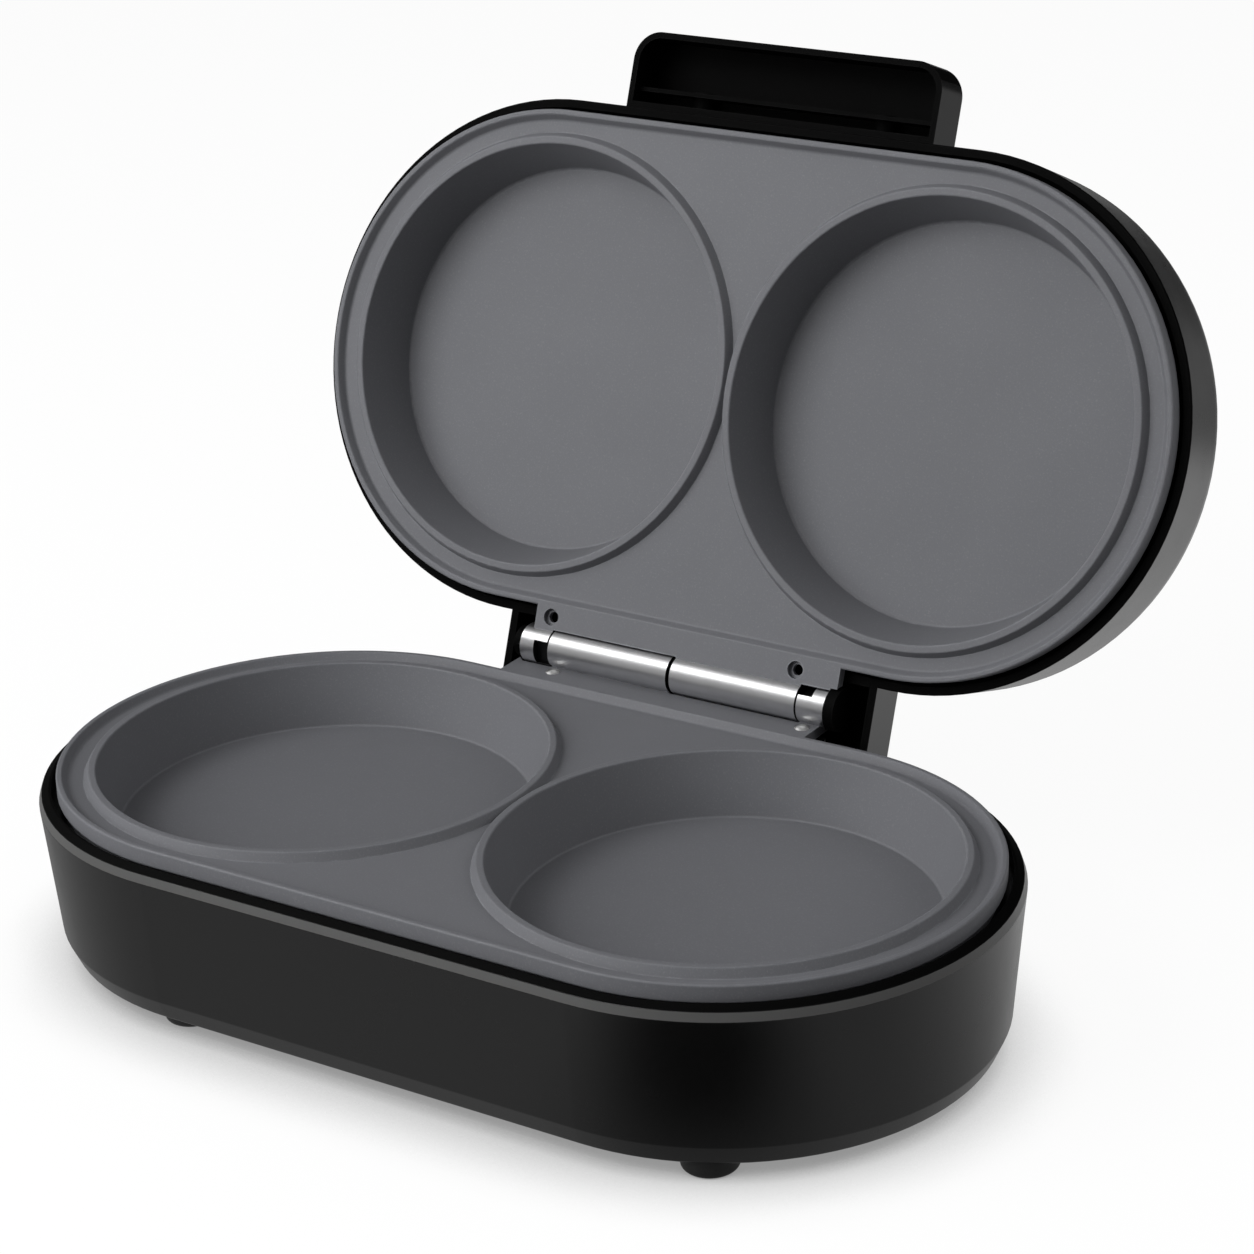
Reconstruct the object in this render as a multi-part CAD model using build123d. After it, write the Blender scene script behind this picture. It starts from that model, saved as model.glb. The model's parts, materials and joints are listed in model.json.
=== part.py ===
"""Twin-well omelette maker, lid shown open at its stop. Millimetres, +Z up, +Y towards the hinge."""
from build123d import *
import math
import os

# Plan of the two cooking plates, a stadium round two round wells: all of it follows from the plate's edge
PLATE_RADIUS = 72.0          # plate edge
RING_MARGIN = 8.0            # from the plate edge to each well's ring
RING_WIDTH = 2.1
WELL_DRAFT = 5.0             # from the ring in to the well's floor
RING_GAP = 1.3               # between the two rings
END_SHIFT = 0.85             # centre of a rounded end beyond the centre of its well
RING_OUTER_RADIUS = PLATE_RADIUS - RING_MARGIN
RING_INNER_RADIUS = RING_OUTER_RADIUS - RING_WIDTH
WELL_FLOOR_RADIUS = RING_INNER_RADIUS - WELL_DRAFT
WELL_X = RING_OUTER_RADIUS + RING_GAP / 2
HALF_PITCH = WELL_X + END_SHIFT

# Cooking plate section, measured from the top of its raised edge
RIDGE_WIDTH = 1.6
STEP_SLOPE = 1.4             # run of the slope beside the edge and outside each ring
EDGE_ROUND = 0.6             # on the raised edge and the rings
FOOT_ROUND = 1.0             # where the slope meets the land
LAND_DEPTH = 2.2             # flat land below the raised edge
LAND_THICKNESS = 2.8
RING_PROUD = 0.3             # well ring above the raised edge
WELL_DEPTH = 17.7
WELL_FLOOR_FILLET = 0.8
WELL_BACK_ROUND = 3.0
WELL_WALL = 2.2
WELL_FLOOR_THICKNESS = 2.6
SKIRT_INSET = 2.0            # from the plate edge
SKIRT_WIDTH = 2.6
SKIRT_HEIGHT = 4.0
PLATE_GAP = 1.2              # between the raised edges of the two plates when closed
SKIRT_OUTER_RADIUS = PLATE_RADIUS - SKIRT_INSET
PLATE_EDGE = LAND_DEPTH + LAND_THICKNESS
SEAT_DEPTH = PLATE_EDGE + SKIRT_HEIGHT
FLOOR_BACK = WELL_DEPTH + WELL_FLOOR_THICKNESS

# Plate screws and their bosses
PLATE_BOSS_X = 13.0
PLATE_BOSS_INSET = 13.0      # from the skirt's outside
PLATE_BOSS_RADIUS = 4.0
PLATE_SCREW_RADIUS = 1.5
PLATE_SCREW_HEAD_RADIUS = 3.0
PLATE_SCREW_HEAD = 2.0
PLATE_SCREW_BITE = 6.0
PLATE_BOSS_Y = SKIRT_OUTER_RADIUS - PLATE_BOSS_INSET

# Hinge
HINGE_SETBACK = 11.6         # pin axis behind the plate edge
HINGE_RISE = 4.6             # pin axis above the lower plate's raised edge
LID_OPEN = 110.0             # degrees from closed to the open stop
BARREL_RADIUS = 5.7
PIN_RADIUS = 2.5
PIN_CLEARANCE = 0.05         # radial, in the two knuckles that turn on the pin
BARREL_CLEARANCE = 0.45      # radial, between a knuckle or cap and a flange beside it
KNUCKLE_WEB = 3.3            # half thickness of the web under a lower knuckle
HINGE_SEAMS = (-53.0, -43.3, -1.9, 40.2, 49.3)   # ends of the four knuckles along X
SEAM_GAPS = (0.6, 0.6, 1.2, 0.6, 0.0)            # open gap at each of those
KNUCKLE_SLOT_DEPTH = 2.6
LOWER_SLOT = (4.4, 5.8)      # width along the pin, and span round it
UPPER_SLOT = (4.4, 7.4)
LOWER_SLOT_TURN = -75.0      # degrees down from the front, so this one faces up
UPPER_SLOT_TURN = 6.0        # the same on the lid, with the lid open
RIGHT_CAP_RADIUS = 6.2
RIGHT_CAP_LENGTH = 3.2
LEFT_CAP_RADIUS = 4.6
LEFT_CAP_LENGTH = 2.4
CAP_END = 1.2                # end wall of each cap, outside the pin
FLANGE_THICKNESS = 3.0
LOWER_FLANGE_ENDS = (-2.2, -2.3)                 # to the right of the outermost seams
UPPER_FLANGE_ENDS = (2.9, 2.1)
UPPER_HOLES = (-44.9, 37.4)
UPPER_HOLE_INSET = 8.7       # in front of the pin axis
UPPER_HOLE_RADIUS = 1.6
UPPER_COUNTERBORE_RADIUS = 2.5
UPPER_COUNTERBORE_DEPTH = 1.6
LOWER_SCREWS = (-40.5, 43.2)
LOWER_SCREW_INSET = 6.7      # in front of the pin axis
LOWER_SCREW_RADIUS = 1.2
LOWER_SCREW_HEAD_RADIUS = 2.2
LOWER_SCREW_HEAD = 0.8
LOWER_SCREW_BITE = 5.0       # into the base, below the flange
HINGE_Y = PLATE_RADIUS + HINGE_SETBACK
LOWER_FLANGE = (HINGE_SEAMS[0] + LOWER_FLANGE_ENDS[0], HINGE_SEAMS[-1] + LOWER_FLANGE_ENDS[1])
UPPER_FLANGE = (HINGE_SEAMS[0] + UPPER_FLANGE_ENDS[0], HINGE_SEAMS[-1] + UPPER_FLANGE_ENDS[1])
FLANGE_HOLE_Y = HINGE_Y - UPPER_HOLE_INSET
LOWER_SCREW_Y = HINGE_Y - LOWER_SCREW_INSET
LOWER_SCREW_LENGTH = FLANGE_THICKNESS + LOWER_SCREW_BITE

# Casings
WALL = 2.6
RIM_DROP = 4.9               # casing rim below the plate's raised edge
RIM_MARGIN = 4.2             # casing rim beyond the plate edge
RIM_CHAMFER = 2.4
RIM_CHAMFER_RUN = 0.8
RIM_SLOPE_RUN = 2.0
RIM_SLOPE_RISE = 1.1
RIM_ROUND = 0.5
CASING_ROUND = 1.2           # on the casing's two lowest edges
BASE_TAPER = 2.4             # from the rim in to the top of the low chamfer
BASE_CHAMFER_RUN = 2.6
BASE_CHAMFER_HEIGHT = 5.9
BASE_HEIGHT = 44.3           # casing underside to rim
LEDGE_OVERLAP = 3.0          # of each ledge under its plate's skirt
LEDGE_THICKNESS = 2.5
LUG_MARGIN = 7.0             # lug beyond each plate screw
LID_LIP = 4.5                # lid rim behind the upper plate's raised edge
LID_MARGIN = 3.6             # lid beyond the plate edge
LID_TAPER = 1.2
LID_EDGE_FILLET = 9.5
LID_WALL = 2.4
LID_ROOM = 2.6               # between the reflector and the inside of the lid's top
RIM_RADIUS = PLATE_RADIUS + RIM_MARGIN
RIM_CHAMFER_RADIUS = RIM_RADIUS + RIM_CHAMFER_RUN
BASE_WAIST_RADIUS = RIM_RADIUS - BASE_TAPER
BASE_FOOT_RADIUS = BASE_WAIST_RADIUS - BASE_CHAMFER_RUN
LEDGE_RADIUS = SKIRT_OUTER_RADIUS - LEDGE_OVERLAP
LID_RADIUS = PLATE_RADIUS + LID_MARGIN
LID_TOP_RADIUS = LID_RADIUS - LID_TAPER

# Hinge housing at the back of the lid
HUMP_END_GAP = 6.1           # between the outermost seam and the housing's end wall
HUMP_REACH = 13.4            # housing's back behind the pin axis
HUMP_DEPTH = 14.0
HUMP_WALL = 2.4
HUMP_FILLET = 1.0
HUMP_CAVITY_START = 0.2      # skin left on the lid wall
PAD_WIDTH = 12.0             # pads on the base rim that carry the lower flange
PAD_MARGIN = 2.6             # from the screw to the pad's rear face
STOP_RIB_INSET = 5.5         # from the housing's end
STOP_RIB_WIDTH = 5.0
STOP_RIB_HEIGHT = 9.0
STOP_GAP = 0.3
HUMP_HALF_WIDTH = HUMP_END_GAP + HUMP_WALL - HINGE_SEAMS[0]
HUMP_END_Y = HINGE_Y + HUMP_REACH
STOP_RIB_X = HUMP_HALF_WIDTH - STOP_RIB_INSET

# Lid handle
HANDLE_HALF_WIDTH = 50.5
HANDLE_REACH = 22.4
HANDLE_START = 5.5
HANDLE_CORNER = 8.5
HANDLE_WALL = 1.8
HANDLE_EDGE = 1.0
HANDLE_SCREW_X = 30.0
HANDLE_SCREW_RADIUS = 1.4
HANDLE_SCREW_HEAD_RADIUS = 2.8
HANDLE_SCREW_HEAD = 1.8
HANDLE_SCREW_MARGIN = 1.2    # between the screw head and the ledge
HANDLE_SCREW_BITE = 4.5
HANDLE_BOSS_RADIUS = 3.4
HANDLE_BOSS_LENGTH = 7.0
HANDLE_BOSS_COVER = 0.6      # top of the grip beyond its screw bosses
HANDLE_LEDGE_Y = 5.2         # ledge inside the grip, in front of the lid wall
HANDLE_LEDGE_THICKNESS = 1.2
HANDLE_LEDGE_DROP = 3.0
CLIP_SLOT_INSETS = (5.5, 1.7)                    # from the inside of the grip's right wall
CLIP_SLOT_WIDTH = 2.2
CLIP_SLOT_HEIGHT = 3.0
CLIP_SLOTS = [HANDLE_HALF_WIDTH - HANDLE_WALL - inset for inset in CLIP_SLOT_INSETS]

# Feet and bottom cover
FOOT_HEIGHT = 4.8
FOOT_TOP_RADIUS = 7.6
FOOT_BOTTOM_RADIUS = 6.6
FOOT_EDGE = 1.2
FOOT_PLUG_RADIUS = 3.0
# Each foot's place: outwards from the centre of its rounded end, and in from the cover's long edge
FEET = {
    "front_left": (0.5, 8.4), "front_right": (28.3, 11.4),
    "rear_left": (14.5, 7.4), "rear_right": (14.5, 7.4),
}
COVER_CLEARANCE = 0.2        # between the cover and the casing's wall
COVER_THICKNESS = 2.5
POST_INSET = 4.6             # screw posts in from the cover's edge
POST_ANGLE = 50.0
POST_RADIUS = 3.4
POST_HEIGHT = 20.0
POST_WEB = 2.4
COVER_SCREW_RADIUS = 1.5
COVER_SCREW_HEAD_RADIUS = 2.9
COVER_SCREW_HEAD = 1.4
COVER_SCREW_BITE = 9.0
VENT_COUNT = 7
VENT_PITCH = 7.0
VENT_WIDTH = 2.4
VENT_LENGTH = 34.0
COVER_RADIUS = BASE_FOOT_RADIUS - WALL - COVER_CLEARANCE
POST_CIRCLE = COVER_RADIUS - POST_INSET

# Heating elements, reflectors and controls
ELEMENT_RADIUS = 3.0
ELEMENT_INSET = 14.9         # from the edge of the well's floor
ELEMENT_TAIL_X = 7.0
ELEMENT_TAIL_Y = 24.0
ELEMENT_BEND = 9.0
TERMINAL_RADIUS = 1.4
TERMINAL_LENGTH = 7.0
CLIP_INSET = 26.65           # from the well's centre
CLIP_LENGTH = 12.0
CLIP_LEG = 1.6
CLIP_STRAP = 1.2
CLIP_CLEARANCE = 0.15
REFLECTOR_INSET = 0.9        # from the edge of the well's floor
LOWER_REFLECTOR_THICKNESS = 0.8
UPPER_REFLECTOR_THICKNESS = 0.5
REFLECTOR_HOLE_RADIUS = 13.0
REFLECTOR_SCREW_MARGIN = 2.0
THERMOSTAT_RADIUS = 9.0
THERMOSTAT_HEIGHT = 8.5
THERMOSTAT_BLADE = (4.8, 0.8, 7.0)
THERMOSTAT_BLADE_X = 4.5
FUSE_RADIUS = 2.0
FUSE_LENGTH = 18.0
FUSE_CLAMP_WALL = 0.45       # over and under the fuse
FUSE_CLAMP_WIDTH = 7.0
FUSE_CLAMP_SPAN = 14.0
BLOCK_SIZE = (26.0, 12.0, 9.0)
BLOCK_AT = (-40.0, 46.0)
BLOCK_BORE_RADIUS = 1.6
BLOCK_SCREW_RADIUS = 2.0
BLOCK_SCREW_PITCH = 8.0
BLOCK_SCREW_HEAD = 0.8
INLET_X = -40.0
INLET_Z = 19.0
INLET_BORE_RADIUS = 3.6
INLET_SLEEVE = 1.6           # wall of the bush round its bore
INLET_FLANGE_MARGIN = 2.2
INLET_FLANGE = 2.4
INLET_INSIDE = 9.0
LAMP_X = 9.0
LAMP_INSET = 4.9             # from the lid's rounded edge
LAMP_RADIUS = 2.6
LAMP_DOME = 0.9
LAMP_FLANGE_MARGIN = 0.9
LAMP_FLANGE = 0.8
LAMP_BULB_RADIUS = 2.2
LAMP_BULB_GAP = 0.4
BOARD_MARGIN = 0.4           # board beyond its posts
BOARD_WIDTH = 10.0
BOARD_THICKNESS = 1.2
BOARD_DROP = 9.0             # from the roof to the board
BOARD_POST_GAP = 0.5         # between a post and a lens
BOARD_POST_RADIUS = 1.8
ELEMENT_LOOP = WELL_FLOOR_RADIUS - ELEMENT_INSET
CLIP_X = WELL_X - CLIP_INSET
REFLECTOR_RADIUS = WELL_FLOOR_RADIUS - REFLECTOR_INSET
STRAP_BACK = FLOOR_BACK + 2 * ELEMENT_RADIUS + CLIP_STRAP
LID_DEPTH = STRAP_BACK + UPPER_REFLECTOR_THICKNESS + LID_ROOM + LID_WALL
INLET_BODY_RADIUS = INLET_BORE_RADIUS + INLET_SLEEVE
INLET_FLANGE_RADIUS = INLET_BODY_RADIUS + INLET_FLANGE_MARGIN
LAMP_Y = LID_TOP_RADIUS - LID_EDGE_FILLET - LAMP_INSET
LAMP_FLANGE_RADIUS = LAMP_RADIUS + LAMP_FLANGE_MARGIN
BOARD_POST_X = LAMP_X + LAMP_FLANGE_RADIUS + BOARD_POST_GAP + BOARD_POST_RADIUS

# Heights above the surface that it stands on, lid closed
RIM_Z = FOOT_HEIGHT + BASE_HEIGHT
LOWER_Z = RIM_Z + RIM_DROP
UPPER_Z = LOWER_Z + PLATE_GAP
HINGE_Z = LOWER_Z + HINGE_RISE
HANDLE_SCREW_RISE = SEAT_DEPTH + LEDGE_THICKNESS + HANDLE_SCREW_HEAD_RADIUS + HANDLE_SCREW_MARGIN
HANDLE_SCREW_Z = UPPER_Z + HANDLE_SCREW_RISE
HANDLE_DEPTH = HANDLE_SCREW_RISE + HANDLE_BOSS_RADIUS + HANDLE_BOSS_COVER - HANDLE_START
HINGE_AXIS = Axis((0, HINGE_Y, HINGE_Z), (1, 0, 0))
KNUCKLES = [
    (HINGE_SEAMS[i] + SEAM_GAPS[i] / 2, HINGE_SEAMS[i + 1] - SEAM_GAPS[i + 1] / 2) for i in range(4)
]
LEFT_CAP = (HINGE_SEAMS[0], -1, LEFT_CAP_RADIUS, LEFT_CAP_LENGTH)
RIGHT_CAP = (HINGE_SEAMS[4], 1, RIGHT_CAP_RADIUS, RIGHT_CAP_LENGTH)
UPPER_KNUCKLES = (KNUCKLES[0], KNUCKLES[2])
LOWER_KNUCKLES = (KNUCKLES[1], KNUCKLES[3])


def stadium(radius, z):
    return Pos(0, 0, z) * SlotCenterToCenter(2 * HALF_PITCH, 2 * radius)


def prism(radius, z0, z1):
    return extrude(stadium(radius, z0), amount=z1 - z0, dir=(0, 0, 1))


def tapered(radius0, z0, radius1, z1):
    return loft([stadium(radius0, z0), stadium(radius1, z1)], ruled=True)


def box(x0, x1, y0, y1, z0, z1):
    return Pos((x0 + x1) / 2, (y0 + y1) / 2, (z0 + z1) / 2) * Box(x1 - x0, y1 - y0, z1 - z0)


def rod_x(radius, x0, x1, y, z):
    return Pos((x0 + x1) / 2, y, z) * Rot(0, 90, 0) * Cylinder(radius, x1 - x0)


def rod_y(radius, y0, y1, x, z):
    return Pos(x, (y0 + y1) / 2, z) * Rot(90, 0, 0) * Cylinder(radius, y1 - y0)


def rod_z(radius, z0, z1, x, y):
    return Pos(x, y, (z0 + z1) / 2) * Cylinder(radius, z1 - z0)


def section(points, rounds):
    """Flat face through (radius, height) points, with the corner at each index in rounds given its radius."""
    face = Sketch() + make_face(Polyline(*points, close=True))
    for index, radius in rounds.items():
        corner = face.vertices().sort_by_distance(Vector(*points[index]))[0]
        face = fillet(corner, radius)
    return face


def turned(points, rounds, x=0.0, y=0.0):
    """Solid of revolution about a vertical line."""
    return Pos(x, y, 0) * revolve(Plane.XZ * section(points, rounds), Axis.Z)


def stadium_turned(points, rounds):
    """Solid with the same section all round the stadium."""
    face = section(points, rounds)
    side = extrude(Plane.YZ * face, amount=HALF_PITCH, both=True)
    body = side + mirror(side, about=Plane.XZ)
    end = Rot(0, 0, -90) * revolve(Plane.XZ * face, Axis.Z, 180)
    body += Pos(HALF_PITCH, 0, 0) * end
    return body + Pos(-HALF_PITCH, 0, 0) * Rot(0, 0, 180) * end


def corners(x, y):
    return [(sx * x, sy * y) for sx in (-1, 1) for sy in (-1, 1)]


def post_places():
    angle = math.radians(POST_ANGLE)
    return corners(HALF_PITCH + POST_CIRCLE * math.cos(angle), POST_CIRCLE * math.sin(angle))


def face_down(shape):
    """Turns a piece made for the lower plate over, ready for the lid."""
    return Pos(0, 0, UPPER_Z) * Rot(0, 180, 0) * shape


def opened(shape):
    """Swings a piece of the closed lid up to the open stop."""
    return shape.rotate(HINGE_AXIS, -LID_OPEN)


# Cooking plates, made face up with the raised edge at height 0
def well():
    """One round well with its raised ring, floor and wall."""
    outer_floor = WELL_FLOOR_RADIUS + WELL_WALL
    points = [
        (0, -WELL_DEPTH), (WELL_FLOOR_RADIUS, -WELL_DEPTH), (RING_INNER_RADIUS, RING_PROUD),
        (RING_OUTER_RADIUS, RING_PROUD), (RING_OUTER_RADIUS + STEP_SLOPE, -LAND_DEPTH),
        (RING_INNER_RADIUS + WELL_WALL, -PLATE_EDGE), (outer_floor, -FLOOR_BACK), (0, -FLOOR_BACK),
    ]
    return turned(points, {1: WELL_FLOOR_FILLET, 2: EDGE_ROUND, 3: EDGE_ROUND, 6: WELL_BACK_ROUND})


def plate_body():
    inside = PLATE_RADIUS - RIDGE_WIDTH
    points = [
        (0, -LAND_DEPTH), (inside - STEP_SLOPE, -LAND_DEPTH), (inside, 0), (PLATE_RADIUS, 0),
        (PLATE_RADIUS, -PLATE_EDGE), (0, -PLATE_EDGE),
    ]
    return stadium_turned(points, {1: FOOT_ROUND, 2: EDGE_ROUND, 3: EDGE_ROUND, 4: EDGE_ROUND})


def hinge_relief(axis_z, side):
    """Room round the whole hinge line, in which the knuckles and end caps turn."""
    ends = sorted((side * HINGE_SEAMS[0], side * HINGE_SEAMS[4]))
    room = rod_x(BARREL_RADIUS + BARREL_CLEARANCE, *ends, HINGE_Y, axis_z)
    for inner_x, outward, radius, length in (LEFT_CAP, RIGHT_CAP):
        outer_x = inner_x + outward * (length + BARREL_CLEARANCE)
        ends = sorted((side * inner_x, side * outer_x))
        room += rod_x(radius + BARREL_CLEARANCE, *ends, HINGE_Y, axis_z)
    return room


def knuckle(span, flange, axis_z, bore):
    """Barrel round the pin, joined to its plate's flange."""
    x0, x1 = span
    arm0, arm1 = max(x0, flange[0]), min(x1, flange[1])
    barrel = rod_x(BARREL_RADIUS, x0, x1, HINGE_Y, axis_z)
    barrel += box(arm0, arm1, PLATE_RADIUS, HINGE_Y, -FLANGE_THICKNESS, 0)
    if axis_z > 0:
        barrel += box(arm0, arm1, HINGE_Y - KNUCKLE_WEB, HINGE_Y + KNUCKLE_WEB, -FLANGE_THICKNESS, axis_z)
    return barrel - rod_x(bore, x0, x1, HINGE_Y, axis_z)


def knuckle_slot(x0, axis_z, turn, width, span):
    """Window in a knuckle's wall, turned about the pin from the side that faces the front."""
    middle = HINGE_Y - BARREL_RADIUS
    slot = box(
        x0, x0 + width, middle - KNUCKLE_SLOT_DEPTH, middle + KNUCKLE_SLOT_DEPTH,
        axis_z - span / 2, axis_z + span / 2,
    )
    return slot.rotate(Axis((0, HINGE_Y, axis_z), (1, 0, 0)), turn)


def cooking_plate(flange, axis_z, side, knuckles, holes):
    plate = plate_body()
    plate += prism(SKIRT_OUTER_RADIUS, -SEAT_DEPTH, -PLATE_EDGE)
    plate -= prism(SKIRT_OUTER_RADIUS - SKIRT_WIDTH, -SEAT_DEPTH, -PLATE_EDGE)
    plate += box(*flange, PLATE_RADIUS - RIDGE_WIDTH / 2, HINGE_Y, -FLANGE_THICKNESS, 0)
    plate -= hinge_relief(axis_z, side)
    for knuckle in knuckles:
        plate += knuckle
    ring_middle = (RING_INNER_RADIUS + RING_OUTER_RADIUS) / 2
    for x in (-WELL_X, WELL_X):
        plate -= rod_z(ring_middle, -SEAT_DEPTH, RING_PROUD, x, 0)
    for x in (-WELL_X, WELL_X):
        plate += Pos(x, 0, 0) * well()
    for x, y in corners(PLATE_BOSS_X, PLATE_BOSS_Y):
        plate += rod_z(PLATE_BOSS_RADIUS, -SEAT_DEPTH, -LAND_DEPTH - LAND_THICKNESS / 2, x, y)
        plate -= rod_z(PLATE_SCREW_RADIUS, -SEAT_DEPTH, PLATE_SCREW_BITE - SEAT_DEPTH, x, y)
    for x, y, radius, counterbore, depth in holes:
        plate -= rod_z(radius, -FLANGE_THICKNESS, 0, x, y)
        if counterbore:
            plate -= rod_z(counterbore, -depth, 0, x, y)
    return plate


def lower_cooking_plate():
    holes = [(x, LOWER_SCREW_Y, LOWER_SCREW_RADIUS, 0, 0) for x in LOWER_SCREWS]
    middle, end = [knuckle(span, LOWER_FLANGE, HINGE_RISE, PIN_RADIUS) for span in LOWER_KNUCKLES]
    end -= knuckle_slot(LOWER_KNUCKLES[1][0], HINGE_RISE, LOWER_SLOT_TURN, *LOWER_SLOT)
    return Pos(0, 0, LOWER_Z) * cooking_plate(LOWER_FLANGE, HINGE_RISE, 1, [middle, end], holes)


def upper_cooking_plate():
    holes = [
        (-x, FLANGE_HOLE_Y, UPPER_HOLE_RADIUS, UPPER_COUNTERBORE_RADIUS, UPPER_COUNTERBORE_DEPTH)
        for x in UPPER_HOLES
    ]
    flange = (-UPPER_FLANGE[1], -UPPER_FLANGE[0])
    axis_z = PLATE_GAP - HINGE_RISE
    spans = [(-x1, -x0) for x0, x1 in UPPER_KNUCKLES]
    end, middle = [knuckle(span, flange, axis_z, PIN_RADIUS + PIN_CLEARANCE) for span in spans]
    end -= knuckle_slot(spans[0][0], axis_z, -UPPER_SLOT_TURN - LID_OPEN, *UPPER_SLOT)
    return face_down(cooking_plate(flange, axis_z, -1, [end, middle], holes))


# Hinge
def hinge_pin():
    left = HINGE_SEAMS[0] - LEFT_CAP_LENGTH + CAP_END
    right = HINGE_SEAMS[4] + RIGHT_CAP_LENGTH - CAP_END
    return rod_x(PIN_RADIUS, left, right, HINGE_Y, HINGE_Z)


def hinge_cap(inner_x, outward, radius, length):
    x0, x1 = sorted((inner_x, inner_x + outward * length))
    cap = rod_x(radius, x0, x1, HINGE_Y, HINGE_Z)
    seat0, seat1 = sorted((inner_x, inner_x + outward * (length - CAP_END)))
    return cap - rod_x(PIN_RADIUS, seat0, seat1, HINGE_Y, HINGE_Z)


def lower_flange_screws():
    screws = []
    for x in LOWER_SCREWS:
        shank = rod_z(LOWER_SCREW_RADIUS, LOWER_Z - LOWER_SCREW_LENGTH, LOWER_Z, x, LOWER_SCREW_Y)
        rise = LOWER_SCREW_HEAD
        dome_radius = (LOWER_SCREW_HEAD_RADIUS ** 2 + rise ** 2) / (2 * rise)
        dome = Pos(x, LOWER_SCREW_Y, LOWER_Z + rise - dome_radius) * Sphere(dome_radius)
        keep = rod_z(LOWER_SCREW_HEAD_RADIUS, LOWER_Z, LOWER_Z + rise, x, LOWER_SCREW_Y)
        screws.append(shank + (dome & keep))
    return screws


# Base
def base_outer():
    top_z = RIM_Z + RIM_SLOPE_RISE
    points = [
        (0, FOOT_HEIGHT), (BASE_FOOT_RADIUS, FOOT_HEIGHT),
        (BASE_WAIST_RADIUS, FOOT_HEIGHT + BASE_CHAMFER_HEIGHT), (RIM_CHAMFER_RADIUS, RIM_Z - RIM_CHAMFER),
        (RIM_RADIUS, RIM_Z), (RIM_RADIUS - RIM_SLOPE_RUN, top_z), (0, top_z),
    ]
    low, high = CASING_ROUND, RIM_ROUND
    return stadium_turned(points, {1: low, 2: low, 3: high, 4: high, 5: high})


def base_inner():
    waist_z = FOOT_HEIGHT + BASE_CHAMFER_HEIGHT
    room = tapered(BASE_FOOT_RADIUS - WALL, FOOT_HEIGHT, BASE_WAIST_RADIUS - WALL, waist_z)
    room += tapered(BASE_WAIST_RADIUS - WALL, waist_z, RIM_RADIUS - WALL, RIM_Z)
    return room + prism(RIM_RADIUS - WALL, RIM_Z, RIM_Z + RIM_SLOPE_RISE)


def ledge(z_seat, body):
    """Shelf under the plate's skirt, with a lug on each long side for the plate screws."""
    shelf = prism(RIM_RADIUS, z_seat - LEDGE_THICKNESS, z_seat) - prism(
        LEDGE_RADIUS, z_seat - LEDGE_THICKNESS, z_seat
    )
    lug = PLATE_BOSS_X + LUG_MARGIN
    for side in (-1, 1):
        y0, y1 = sorted((side * (PLATE_BOSS_Y - PLATE_BOSS_RADIUS), side * (LEDGE_RADIUS + SKIRT_WIDTH)))
        shelf += box(-lug, lug, y0, y1, z_seat - LEDGE_THICKNESS, z_seat)
    for x, y in corners(PLATE_BOSS_X, PLATE_BOSS_Y):
        shelf -= rod_z(PLATE_SCREW_RADIUS, z_seat - LEDGE_THICKNESS, z_seat, x, y)
    return shelf & body


def stop_rib_face():
    """Where the open housing's edge comes to rest: its distance behind the plate centre and its height."""
    turn = math.radians(LID_OPEN)
    y = HUMP_END_Y - HINGE_Y
    z = UPPER_Z + LID_LIP - HINGE_Z
    return (
        HINGE_Y + y * math.cos(turn) + z * math.sin(turn),
        HINGE_Z - y * math.sin(turn) + z * math.cos(turn),
    )


def cover_post(x, y):
    """Post for a cover screw, with a web out to the casing's wall."""
    z0 = FOOT_HEIGHT + COVER_THICKNESS
    outward = math.degrees(math.atan2(y, x - math.copysign(HALF_PITCH, x)))
    web = Pos(x, y, 0) * Rot(0, 0, outward) * box(
        0, BASE_WAIST_RADIUS - POST_CIRCLE + WALL, -POST_WEB / 2, POST_WEB / 2, z0, z0 + POST_HEIGHT
    )
    return rod_z(POST_RADIUS, z0, z0 + POST_HEIGHT, x, y) + web


def base_shell():
    outer, inner = base_outer(), base_inner()
    seat_z = LOWER_Z - SEAT_DEPTH
    shell = outer - inner + ledge(seat_z, inner)
    flange_z = LOWER_Z - FLANGE_THICKNESS
    for x in LOWER_SCREWS:
        pad = box(
            x - PAD_WIDTH / 2, x + PAD_WIDTH / 2, RIM_RADIUS - WALL, LOWER_SCREW_Y + PAD_MARGIN,
            seat_z, flange_z,
        )
        shell += pad
        shell -= rod_z(LOWER_SCREW_RADIUS, LOWER_Z - LOWER_SCREW_LENGTH, flange_z, x, LOWER_SCREW_Y)
    for x, y in post_places():
        shell += cover_post(x, y) & outer
        shell -= rod_z(
            COVER_SCREW_RADIUS, FOOT_HEIGHT + COVER_THICKNESS,
            FOOT_HEIGHT + COVER_SCREW_HEAD + COVER_SCREW_BITE, x, y,
        )
    stop_y, stop_z = stop_rib_face()
    for side in (-1, 1):
        rib = box(
            side * STOP_RIB_X - STOP_RIB_WIDTH / 2, side * STOP_RIB_X + STOP_RIB_WIDTH / 2,
            RIM_RADIUS - WALL, stop_y - STOP_GAP,
            stop_z - STOP_RIB_HEIGHT / 2, stop_z + STOP_RIB_HEIGHT / 2,
        )
        shell += rib - inner
    return shell - rod_y(INLET_BODY_RADIUS, LEDGE_RADIUS, RIM_CHAMFER_RADIUS, INLET_X, INLET_Z)


def foot_places():
    places = {}
    for name, (outwards, inset) in FEET.items():
        side = -1 if name.endswith("left") else 1
        end = -1 if name.startswith("front") else 1
        places[name] = (side * (HALF_PITCH + outwards), end * (COVER_RADIUS - inset))
    return places


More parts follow.
